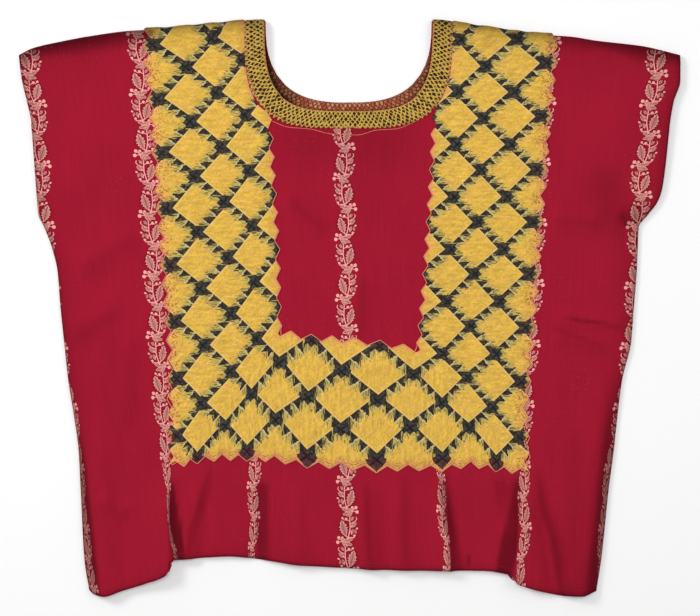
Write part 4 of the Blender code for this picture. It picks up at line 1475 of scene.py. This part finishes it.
class HUIPIL_OT_cloth(Operator):
    """Lays the printed cotton: front and back in one length, folded at the shoulders"""

    bl_idname = "huipil.cloth"
    bl_label = "Blouse cloth"

    def execute(self, context):
        settings = context.scene.huipil_cloth
        x, depth, neck_row = panel_plan(FRONT_NECK, FRONT_BESIDE_NECK, FRONT_BELOW, 0.0)
        y, z, _ = turned(x, depth)
        z = z + hem_step(x, y, settings.hem / MM) * (depth > FOLD_DEPTH)
        front = np.stack([leaned(x, y), y, z], -1)
        front_cut = np.stack([cut_across(x, y), cut_along(x, depth, True)], -1)
        x, depth, back_neck_row = panel_plan(BACK_NECK, BACK_BESIDE_NECK, BACK_BELOW, BACK_INSET)
        y, _, z = turned(x, depth)
        back = np.stack([x, y, z], -1)
        back_cut = np.stack([cut_across(x, y), cut_along(x, depth, False)], -1)
        length = np.concatenate([front[::-1], back[1:]])
        cut = np.concatenate([front_cut[::-1], back_cut[1:]])
        rows, columns = length.shape[:2]
        keep = np.ones((rows - 1, columns - 1), bool)
        fold_row = len(front) - 1
        hole = slice(CLOTH_SIDE_COLUMNS, CLOTH_SIDE_COLUMNS + CLOTH_NECK_COLUMNS)
        keep[fold_row - neck_row : fold_row + back_neck_row, hole] = False
        across, along = vine_places(cut, front[::-1, :, 1])
        # painted shade on the front, from its folds, pleats and edges; the back keeps all its light
        front_share = shade_of(front[..., 0], front[..., 1])
        kept = np.concatenate([front_share[::-1], np.ones_like(back[1:, :, 0])])
        quads = kept_quads(rows, columns, keep)
        near_stripe = (np.abs(across) < STRIPE_HALF).reshape(-1)[quads].any(axis=1)
        cloth = add_piece(
            "blouse_cloth",
            length.reshape(-1, 3),
            [quads],
            [make_cotton(settings, False), make_cotton(settings, True)],
            {"cut": cut.reshape(-1, 2), "vine": pairs(across, along), "wear": pairs(kept, kept)},
            near_stripe,
        )
        thicken(cloth, settings.wall)
        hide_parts("body_cloth")
        return {"FINISHED"}


# -------------------------------- the embroidery

YOKE_PER_COLUMN = 15
YOKE_PER_ROW = 30
YOKE_ABOVE_EVEN = 28
COLUMN_SPAN = 28.5  # millimetres that a lattice column and a row take up, on average
ROW_SPAN = 57.0
EDGE_PILE = 0.45  # height of the pile at the outline, as a share of what it is inside
EDGE_STEPS = 4
TEETH_STEPS_PER_ROW = 24  # of the thread that runs along the teeth
TEETH_STEPS_PER_COLUMN = 12
FOOT_OVERHANG = 0.012  # how far below the foot it lies, in lattice rows
OUTLINE_PITCH = 1.6
OUTER_GAP = 0.025  # how far off the outer teeth it lies, in lattice columns
INNER_GAP = 0.02
SIDE_CUT = 0.1  # lattice rows by which it stops short of a corner
OUTER_CUT = 0.05  # and columns, at an outer and at an inner corner
INNER_CUT = 0.1
OUTER_TOPS = (0.0, -0.35)  # the rows where it starts, on the left and on the right
INNER_TOPS = (1.86, 1.2)


def even_runs(stops, steps_per_unit):
    """Evenly spaced numbers through some stops, with each stop among them, and their indices."""
    counts = [max(1, round((b - a) * steps_per_unit)) for a, b in zip(stops[:-1], stops[1:])]
    runs = [np.linspace(a, b, n, endpoint=False) for a, b, n in zip(stops[:-1], stops[1:], counts)]
    return np.concatenate([*runs, stops[-1:]]), np.cumsum([0, *counts])


def distance_inside(columns, row):
    """How far even grid points lie inside the yoke's outline, in millimetres on average."""
    beside = np.maximum(YOKE_LEFT[1] - columns, columns - YOKE_RIGHT[0]) * COLUMN_SPAN
    below = (row - YOKE_BOTTOM[0]) * ROW_SPAN
    outer = np.minimum(columns - YOKE_LEFT[0], YOKE_RIGHT[1] - columns) * COLUMN_SPAN
    outer = np.minimum(outer, (foot_row(columns) - row) * ROW_SPAN)
    return np.minimum(outer, np.maximum(beside, below))


def yoke_plan():
    """Lattice column and row of the yoke's grid points, the quads it keeps, and edge distances.

    The grid is even but for three things: its upper rows follow the shoulder fold, its edges
    bend with the teeth, and its arms are drawn in to stop beside the neck band.
    """
    columns, column_stops = even_runs([*YOKE_LEFT, *YOKE_RIGHT], YOKE_PER_COLUMN)
    low_rows, row_stops = even_runs([EVEN_ROW, *YOKE_BOTTOM], YOKE_PER_ROW)
    turn_rows = np.array([row_at_depth(columns, d) for d in turn_depths(STITCH_LIFT)])
    t = np.linspace(0.0, 1.0, YOKE_ABOVE_EVEN + 1)[1:-1, None]
    above = turn_rows[-1] + (EVEN_ROW - turn_rows[-1]) * t
    row = np.vstack([turn_rows, above, np.repeat(low_rows[:, None], len(columns), 1)])
    column = np.repeat(columns[None], len(row), 0)
    left_in, right_in = column_stops[1:3]
    inner_low = len(turn_rows) + len(above) + row_stops[1]
    arms = np.arange(len(row))[:, None] <= inner_low
    outer_left, inner_left, inner_right, outer_right = (
        1.0 - smooth(np.abs(column - line) / TOOTH_REACH) for line in (*YOKE_LEFT, *YOKE_RIGHT)
    )
    bend = inner_left * arms - outer_left + outer_right - inner_right * arms
    column = column + side_teeth(row) * bend
    inner, outer = YOKE_BOTTOM
    drawn_in = inner + (row - inner) * (foot_row(columns) - inner) / (outer - inner)
    row = np.where(row > inner, drawn_in, row)
    inward = distance_inside(columns, row)
    between = (np.arange(len(columns)) > left_in) & (np.arange(len(columns)) < right_in)
    foot_bend, hole_bend = (
        1.0 - smooth(np.abs(row - line) / TOOTH_REACH_ROWS) for line in (foot_row(columns), inner)
    )
    row = row + foot_teeth(columns) * (foot_bend - hole_bend * between)
    column = clear_of_neck_band(column, row, left_in, right_in, inner_low)
    keep = np.ones((len(row) - 1, len(columns) - 1), bool)
    keep[:inner_low, left_in:right_in] = False
    return column, row, keep, inward


def clear_of_neck_band(column, row, left_in, right_in, last_row):
    """Draws the arms' columns in so that their inner edges stop beside the neck band."""
    column = column.copy()
    for inner, side, arm in (
        (left_in, -1, slice(0, left_in + 1)),
        (right_in, 1, slice(right_in, None)),
    ):
        at, on = column[:last_row, inner], row[:last_row, inner]
        x, y = lattice(at, on)
        depth = np.maximum(rim(SHOULDER, x) - y, 0.0)
        limit = neck_half_width(widened(FRONT_NECK, 1.0), depth) + BAND_CLEARANCE
        stop = column_at(NECK_CENTRE + side * limit, at, on)
        stop = np.where(side * (x - NECK_CENTRE) < limit, stop, at)[:, None]
        outer = column[:last_row, [0 if side < 0 else -1]]
        share = (column[:last_row, arm] - outer) / (at[:, None] - outer)
        column[:last_row, arm] = outer + (stop - outer) * share
    return column


def edge_distance(keep, shape):
    """How many grid steps each point lies from the sheet's outline, as a share of EDGE_STEPS."""
    inside = np.zeros(shape, bool)
    inside[1:-1, 1:-1] = keep[:-1, :-1] & keep[1:, :-1] & keep[:-1, 1:] & keep[1:, 1:]
    inside[0, 1:-1] = keep[0, :-1] & keep[0, 1:]
    distance = np.zeros(shape)
    for _ in range(EDGE_STEPS):
        distance = distance + inside
        grown = inside.copy()
        grown[1:-1, 1:-1] &= inside[:-2, 1:-1] & inside[2:, 1:-1]
        grown[1:-1, 1:-1] &= inside[1:-1, :-2] & inside[1:-1, 2:]
        grown[:, [0, -1]] = False
        grown[-1] = False
        inside = grown
    return distance / EDGE_STEPS


def lifted(x, y_or_depth, out, turn_rows):
    """Points a height `out` above the front's face; the first rows go round the shoulder fold.

    Their second number is their depth on the fold as a share of it, and the others' is y.
    """
    depth = rim(SHOULDER, x) + out - y_or_depth
    depth[:turn_rows] = (FOLD_DEPTH + out[:turn_rows]) * y_or_depth[:turn_rows]
    y, z, _ = turned(x, depth, out)
    return np.stack([x, y, z], -1)


class HUIPIL_OT_yoke(Operator):
    """Raises the embroidered yoke: padded diamonds, flame-edged strands and knots"""

    bl_idname = "huipil.yoke"
    bl_label = "Yoke embroidery"

    def execute(self, context):
        settings = context.scene.huipil_stitching
        column, row, keep, inward = yoke_plan()
        x, y = lattice(column, row)
        turn_rows = FOLD_STEPS + 1
        y[:turn_rows] = (1.0 - np.cos(np.linspace(0.0, np.pi / 2, turn_rows)))[:, None]
        taper = EDGE_PILE + (1.0 - EDGE_PILE) * edge_distance(keep, x.shape)
        lumps = np.sin(x * 0.9) * np.sin(y * 1.1) * 0.02 + np.sin(x * 0.37 + y * 0.29) * 0.04
        pile = settings.pile / MM * stitch_height(column, row) * taper + lumps
        top = lifted(x, y, STITCH_LIFT + pile, turn_rows)
        under = lifted(x, y, np.full_like(x, STITCH_LIFT), turn_rows)
        quads = kept_quads(*x.shape, keep)[:, ::-1]
        places = pairs(column, row)
        edges = pairs(inward, shoulder_light(x, top[..., 1]))
        yoke = add_piece(
            "yoke_stitching",
            np.concatenate([top.reshape(-1, 3), under.reshape(-1, 3)]),
            [closed_faces(quads, x.size)],
            [make_yoke_finish(settings)],
            {"lattice": np.tile(places, (2, 1)), "edge": np.tile(edges, (2, 1))},
        )
        yoke.data.set_sharp_from_angle(angle=np.radians(60.0))
        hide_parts("yoke_embroidery")
        return {"FINISHED"}


def even_places(start, end, per_unit):
    """Numbers from a start to an end, all of them whole parts of a unit."""
    return np.arange(round(start * per_unit), round(end * per_unit) + 1) / per_unit


def toothed_edge(column, sign, start_row, end_row):
    """Lattice places down one toothed side edge of the yoke, from a row to another."""
    rows = even_places(start_row, end_row, TEETH_STEPS_PER_ROW)
    return np.stack([column + side_teeth(rows) * sign, rows], -1)


def toothed_foot(row, sign, start_column, end_column):
    """Lattice places along one toothed lower edge of the yoke, at one row or the feet's rows."""
    columns = even_places(start_column, end_column, TEETH_STEPS_PER_COLUMN)
    rows = foot_row(columns) + FOOT_OVERHANG if row is None else row
    return np.stack([columns, rows + sign * foot_teeth(columns)], -1)


def couched(line, radius):
    """A thread laid on the cloth beside the stitching, along a line of lattice places."""
    x, y = lattice(line[:, 0], line[:, 1])
    path = np.stack([x, y, face_height(x, y) + STITCH_LIFT + radius], -1)
    path = along_line(path, np.arange(0.0, line_length(path), OUTLINE_PITCH))
    return tubes(path[None], np.full(len(path), radius))


class HUIPIL_OT_outline(Operator):
    """Couches a pale thread along the yoke's teeth, inside and outside"""

    bl_idname = "huipil.outline"
    bl_label = "Outline thread"

    def execute(self, context):
        settings = context.scene.huipil_stitching
        radius = settings.outline / MM / 2
        left, inner_left = YOKE_LEFT
        inner_right, right = YOKE_RIGHT
        inner_row = YOKE_BOTTOM[0]
        outer = [
            toothed_edge(left - OUTER_GAP, -1, OUTER_TOPS[0], FEET[0].row - SIDE_CUT),
            toothed_foot(None, 1, left + OUTER_CUT, right - OUTER_CUT),
            toothed_edge(right + OUTER_GAP, 1, OUTER_TOPS[1], FEET[-1].row - SIDE_CUT)[::-1],
        ]
        inner = [
            toothed_edge(inner_left + INNER_GAP, 1, INNER_TOPS[0], inner_row - SIDE_CUT),
            toothed_foot(inner_row - 0.01, -1, inner_left + INNER_CUT, inner_right - INNER_CUT),
            toothed_edge(inner_right - INNER_GAP, -1, INNER_TOPS[1], inner_row - SIDE_CUT)[::-1],
        ]
        thread = add_threads(
            "yoke_outline_thread",
            [couched(np.concatenate(line), radius) for line in (outer, inner)],
            make_thread_finish("outline_thread", settings.thread_pale),
        )
        return {"FINISHED"}


# -------------------------------- the neck bands

BAND_BESIDE = 44
BAND_BOTTOM = 150
BAND_ACROSS = 12
BAND_CELL = 4.6  # of the crosshatch
BACK_CELL = 5.0
BAND_SLANT = 0.66
GAP_SHADE = 0.85  # how dark the back band is just under the front's edge
GAP_REACH = 2.0
GAP_REACH_LEFT = 6.0
GAP_SIDE_LEFT = 0.55  # how much darker the back band is at its left and right ends
GAP_SIDE_RIGHT = 0.35
GAP_LEFT = -46.0
GAP_RIGHT = 45.0
GAP_LEFT_START = 70.0  # how far from the middle the left end's wider shade has grown
GAP_LEFT_DEPTH = 95.0
GAP_LEFT_FADE = 30.0
GAP_SIDE_FADE_LEFT = 14.0
GAP_SIDE_FADE_RIGHT = 30.0
BAND_TEETH = 0.06  # depth of the saw-toothed lower edge, as a share of the band's width
BAND_TOOTH_STEP = 0.1  # share of the width over which the teeth's slope is measured
BAND_ROUND = (0.12, 0.9)  # the part of a half sine that the band's upper face follows
BAND_CROWN = 0.35
BACK_BAND_LIFT = 0.3
GUIDE_STEPS = 160
GUIDE_RADIUS = 0.24
GUIDE_LIFT = 0.25
GUIDE_LINE = listed(  # the chain-stitched line just below the band
    Rim,
    (-81, 194), (-64, 187.7), (-41, 185.6), (-19, 180.6), (8, 179.4), (29, 184.6), (47, 185.6),
    (67, 192.9), (84, 204.4),
)


def band_line(neck, share, out, on_back):
    """x and depth along a neck band, a share of the way from the neckline to its outer edge.

    The front's band goes on round the shoulder fold, `out` above the cloth.
    """
    line = widened(neck, share)
    beside = np.linspace(FOLD_DEPTH, neck_corner_depth(line), BAND_BESIDE + 1)
    if not on_back:
        beside = np.concatenate([turn_depths(out)[:-1], beside + out])
    side_x = neck_half_width(line, beside)
    bottom_x, bottom_y = neck_bottom(line, BAND_BOTTOM)
    bottom_x, bottom_y = bottom_x[1:-1], bottom_y[1:-1]
    x = np.concatenate([NECK_CENTRE - side_x, bottom_x, NECK_CENTRE + side_x[::-1]])
    bottom_depth = rim(SHOULDER, bottom_x) - bottom_y + (0.0 if on_back else out)
    return x, np.concatenate([beside, bottom_depth, beside[::-1]])


def band_grid(neck, outs, on_back):
    """Points and map places of one face of a band, at a height for each line across it."""
    middle_x, middle_depth = band_line(neck, 0.5, 0.0, on_back)
    middle = np.stack([middle_x, -middle_depth], -1)
    run = np.concatenate([[0.0], np.cumsum(np.linalg.norm(np.diff(middle, axis=0), axis=1))])
    shares = np.linspace(0.02, 1.0, BAND_ACROSS + 1)
    points, places = [], []
    for share, out in zip(shares, outs):
        tooth = BAND_TEETH * zigzag(run / BAND_CELL) * share**4
        here, beyond = (
            np.array(band_line(neck, at, out, on_back)) for at in (share, share + BAND_TOOTH_STEP)
        )
        x, depth = here + (beyond - here) * tooth / BAND_TOOTH_STEP
        if on_back:
            y, z = rim(SHOULDER, x) - depth, np.full_like(x, out)
        else:
            y, z, _ = turned(x, depth, out)
        points.append(np.stack([x, y, z], -1))
        places.append(np.stack([run, np.full_like(run, share * BAND_WIDTH_SIDE)], -1))
    return np.array(points), np.array(places)


def gap_light(x, depth):
    """The share of light that the back band keeps under the front's edge and at its own ends.

    It is least at the front's neckline, a superellipse, and grows with the distance inside it.
    """
    across = np.abs(x - NECK_CENTRE) / FRONT_NECK.half_width
    power = FRONT_NECK.squareness
    level = (across**power + np.clip(depth / FRONT_NECK.depth, 0, None) ** power) ** (1 / power)
    distance = (1.0 - level) * FRONT_NECK.depth
    left = smooth((NECK_CENTRE - x) / GAP_LEFT_START)
    left = left * smooth((GAP_LEFT_DEPTH - depth) / GAP_LEFT_FADE)
    reach = GAP_REACH + GAP_REACH_LEFT * left
    light = edge_light(depth) * (1.0 - GAP_SHADE * (1.0 - smooth(distance / reach)))
    light = light * (1.0 - GAP_SIDE_LEFT * smooth((GAP_LEFT - x) / GAP_SIDE_FADE_LEFT))
    return light * (1.0 - GAP_SIDE_RIGHT * smooth((x - GAP_RIGHT) / GAP_SIDE_FADE_RIGHT))


def add_band(name, neck, base, pile, on_back, finish):
    """A closed band: its upper face bulges between its edges by a half sine."""
    bulge = np.sin(np.linspace(*BAND_ROUND, BAND_ACROSS + 1) * np.pi)
    bulge = bulge * BAND_CROWN + 1.0 - BAND_CROWN
    top, places = band_grid(neck, base + pile * bulge, on_back)
    under, _ = band_grid(neck, np.full(BAND_ACROSS + 1, base), on_back)
    quads = kept_quads(*top.shape[:2])[:, ::-1]
    places = places.reshape(-1, 2)
    depth = rim(SHOULDER, top[..., 0]) - top[..., 1]
    kept = gap_light(top[..., 0], depth) if on_back else edge_light(depth)
    return add_piece(
        name,
        np.concatenate([top.reshape(-1, 3), under.reshape(-1, 3)]),
        [closed_faces(quads, len(places))],
        [finish],
        {"band": np.tile(places, (2, 1)), "gap": np.tile(pairs(kept, kept), (2, 1))},
    )


class HUIPIL_OT_bands(Operator):
    """Works the neck bands: the front's right side, the back's wrong side and the guide line"""

    bl_idname = "huipil.bands"
    bl_label = "Neck bands"

    def execute(self, context):
        settings = context.scene.huipil_stitching
        pile = settings.band_pile / MM
        colours = (settings.band_light, settings.band_hole, settings.band_olive, settings.band_rim)
        finish = make_band_finish("band_thread", colours, BAND_CELL, False)
        front = add_band("neck_band_stitching", FRONT_NECK, STITCH_LIFT, pile, False, finish)
        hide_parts("neck_band_front")
        colours = (settings.back_light, settings.back_hole, settings.back_tint, settings.back_rim)
        finish = make_band_finish("band_wrong_side", colours, BACK_CELL, True)
        base = context.scene.huipil_cloth.wall / MM + BACK_BAND_LIFT
        back = add_band("neck_band_wrong_side", BACK_NECK, base, pile, True, finish)
        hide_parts("neck_band_back")
        x = np.linspace(GUIDE_LINE[0].x, GUIDE_LINE[-1].x, GUIDE_STEPS)
        y = rim(GUIDE_LINE, x)
        path = np.stack([x, y, face_height(x, y) + GUIDE_LIFT], -1)
        run = tubes(path[None], np.full(GUIDE_STEPS, GUIDE_RADIUS))
        finish = make_thread_finish("guide_thread", settings.guide)
        guide = add_threads("neck_guide_thread", [run], finish)
        return {"FINISHED"}


# -------------------------------- hems and seams

STITCH_PITCH = 3.2
STITCH_SHARE = 0.68
STITCH_RADIUS = 0.28
STITCH_SWELL = (0.5, 1.0, 1.1, 1.0, 0.5)  # thickness along a stitch, against its radius
STITCH_ARCH = 1.2
STITCH_SINK = 0.5
HEM_STITCHES_IN = 1.0  # how far the hem's stitches lie from its inner edge
HEM_LINE_STEPS = 400
SLEEVE_LINE_STEPS = 120
SEAM_CUT = 340.0  # place of the side seams on the flat cloth
SEAM_TURN_STEPS = 9
# painted shade on the side seams: the share of light they keep
SEAM_LIGHT = 0.6
SEAM_BULGE = 0.3
SEAM_ROWS = 150


def stitch_run(line):
    """Running stitches along a line: each a short thread that arches out of the cloth and back."""
    count = int(line_length(line) / STITCH_PITCH)
    share = np.linspace(0.0, STITCH_SHARE, len(STITCH_SWELL))
    places = (np.arange(count)[:, None] + share) * STITCH_PITCH
    paths = along_line(line, places.reshape(-1)).reshape(count, len(share), 3)
    arch = STITCH_ARCH * np.sin(np.pi * share / STITCH_SHARE) - STITCH_SINK
    paths[..., 2] += STITCH_RADIUS * arch
    return tubes(paths, STITCH_RADIUS * np.array(STITCH_SWELL), 5)


def hem_lines(inset):
    """The stitch lines of the turned hems: along the hem and down both sleeve edges."""
    x = np.linspace(SECTIONS[-1].left + inset, SECTIONS[-1].right - inset, HEM_LINE_STEPS)
    y = rim(HEM, x) + inset
    hem = np.stack([leaned(x, y), y, face_height(x, y) + HEM_RISE], -1)
    y = np.linspace(ARMHOLE_FOOT + 6, SECTIONS[0].y - 4, SLEEVE_LINE_STEPS)
    sleeves = []
    for side, sign in (("left", 1), ("right", -1)):
        x = edge(side, y) + sign * inset
        sleeves.append(np.stack([x, y, face_height(x, y) + HEM_RISE], -1))
    return [hem, *sleeves]


class HUIPIL_OT_seams(Operator):
    """Closes the side seams and runs the hem stitches"""

    bl_idname = "huipil.seams"
    bl_label = "Seams and hem stitches"

    def execute(self, context):
        settings = context.scene.huipil_cloth
        stitches = add_threads(
            "hem_stitches",
            [stitch_run(line) for line in hem_lines(settings.hem / MM - HEM_STITCHES_IN)],
            make_thread_finish("red_thread", settings.red),
        )
        y = np.linspace(ARMHOLE_FOOT, SECTIONS[-1].y + 1.0, SEAM_ROWS + 1)[:, None]
        turn = np.linspace(np.pi / 2, -np.pi / 2, SEAM_TURN_STEPS)
        finish = bpy.data.objects["blouse_cloth"].data.materials[0]
        for side, sign in (("left", -1), ("right", 1)):
            half = edge("edge_height", y) / 2
            x = edge(side, y) + sign * SEAM_BULGE * np.cos(turn)
            z = half + half * np.sin(turn)
            grid = np.stack(np.broadcast_arrays(x, y, z), -1)
            cut = pairs(*np.broadcast_arrays(sign * SEAM_CUT + turn * 2.0, y))
            quads = kept_quads(*grid.shape[:2])
            seam = add_piece(
                f"side_seam_{side}",
                grid.reshape(-1, 3),
                [quads if sign < 0 else quads[:, ::-1]],
                [finish],
                {"cut": cut, "wear": np.full_like(cut, SEAM_LIGHT)},
            )
            thicken(seam, settings.wall)
        return {"FINISHED"}


# -------------------------------- the stage

FLOOR_SIZE = 6000.0
FLOOR_DROP = 0.6
SENSOR = 36.0
VIEW_CENTRE = (0.0005, -0.0005)
CLOTH_LEVEL = 0.005
Lamp = namedtuple("Lamp", "name x y z size share")
LAMPS = listed(
    Lamp,
    ("lamp_above", -0.1, 0.3, 2.3, 0.9, 1.0), ("lamp_left", -1.9, 1.2, 1.6, 0.9, 1.5),
    ("lamp_right", 1.6, 0.4, 1.8, 1.2, 0.35),
)


def add_floor(colour):
    """A pale, slightly uneven square floor just under the blouse."""
    half = FLOOR_SIZE / 2
    corners = np.array([[-half, -half], [half, -half], [half, half], [-half, half]])
    points = np.column_stack([corners, np.full(4, -FLOOR_DROP)])
    finish, tree, shader = new_finish("pale_floor", 0.1, roughness=0.9)
    x, y = own_places(tree)
    tone = noise(x * 0.004, y * 0.004) * 0.02 + 1.0
    feed(shader.inputs["Base Color"], toned(colour, tone))
    mesh = bpy.data.meshes.new("floor")
    mesh.from_pydata((points * MM).tolist(), [], [(0, 1, 2, 3)])
    mesh.materials.append(finish)
    floor = add_object("floor", mesh)
    floor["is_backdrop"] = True


def add_light(sky_strength, power):
    """An even white sky, and soft round lamps that face the blouse's middle."""
    world = bpy.data.worlds.new("studio")
    world.use_nodes = True
    sky = world.node_tree.nodes["Background"]
    sky.inputs["Color"].default_value = (1.0, 1.0, 1.0, 1.0)
    sky.inputs["Strength"].default_value = sky_strength
    bpy.context.scene.world = world
    for lamp in LAMPS:
        light = bpy.data.lights.new(lamp.name, "AREA")
        light.shape = "DISK"
        light.size = lamp.size
        light.energy = power * lamp.share
        made = add_object(lamp.name, light)
        made.location = (lamp.x, lamp.y, lamp.z)
        made.rotation_euler = (-made.location).to_track_quat("-Z", "Y").to_euler()


class HUIPIL_OT_stage(Operator):
    """Sets the pale floor, the soft light and the camera straight above"""

    bl_idname = "huipil.stage"
    bl_label = "Stage"

    def execute(self, context):
        settings = context.scene.huipil_stage
        add_floor(settings.floor)
        add_light(settings.sky, settings.lamps)
        camera_data = bpy.data.cameras.new("camera")
        camera_data.lens = settings.lens
        camera_data.sensor_width = SENSOR
        distance = settings.view_width * settings.lens / SENSOR
        camera = add_object("camera", camera_data)
        camera.location = (*VIEW_CENTRE, CLOTH_LEVEL + distance)
        context.scene.camera = camera
        context.scene.view_settings.view_transform = "Standard"
        return {"FINISHED"}


class HUIPIL_PT_panel(Panel):
    """Lists the blouse's pieces in the 3D view's sidebar"""

    bl_idname = "HUIPIL_PT_panel"
    bl_label = "Huipil blouse"
    bl_space_type = "VIEW_3D"
    bl_region_type = "UI"
    bl_category = "Huipil"

    def draw(self, context):
        for settings in ("huipil_cloth", "huipil_stitching", "huipil_stage"):
            box = self.layout.box()
            group = getattr(context.scene, settings)
            for name in group.bl_rna.properties.keys():
                if name not in ("rna_type", "name"):
                    box.prop(group, name)
        for operator in PIECES:
            self.layout.operator(operator.bl_idname)


SETTINGS = {
    "huipil_cloth": ClothSettings,
    "huipil_stitching": StitchingSettings,
    "huipil_stage": StageSettings,
}
PIECES = (
    HUIPIL_OT_cloth, HUIPIL_OT_yoke, HUIPIL_OT_outline,
    HUIPIL_OT_bands, HUIPIL_OT_seams, HUIPIL_OT_stage,
)


def register():
    """Registers all classes and gives the scene its settings."""
    for cls in (*SETTINGS.values(), *PIECES, HUIPIL_PT_panel):
        bpy.utils.register_class(cls)
    for name, cls in SETTINGS.items():
        setattr(bpy.types.Scene, name, PointerProperty(type=cls))


def unregister():
    """Takes away what register added, in the opposite order."""
    for name in SETTINGS:
        delattr(bpy.types.Scene, name)
    for cls in (HUIPIL_PT_panel, *reversed(PIECES), *reversed(SETTINGS.values())):
        bpy.utils.unregister_class(cls)


def main():
    """Makes the shared node groups, all pieces and the stage."""
    register()
    make_leaf_group()
    make_stem_group()
    make_vine_group()
    make_weave_group()
    make_rows_group()
    make_flame_group()
    make_lattice_group()
    bpy.ops.huipil.cloth()
    bpy.ops.huipil.yoke()
    bpy.ops.huipil.outline()
    bpy.ops.huipil.bands()
    bpy.ops.huipil.seams()
    bpy.ops.huipil.stage()
    cloth = bpy.data.objects["blouse_cloth"]
    with_pieces = [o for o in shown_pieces() if o != cloth]


if __name__ == "__main__":
    main()
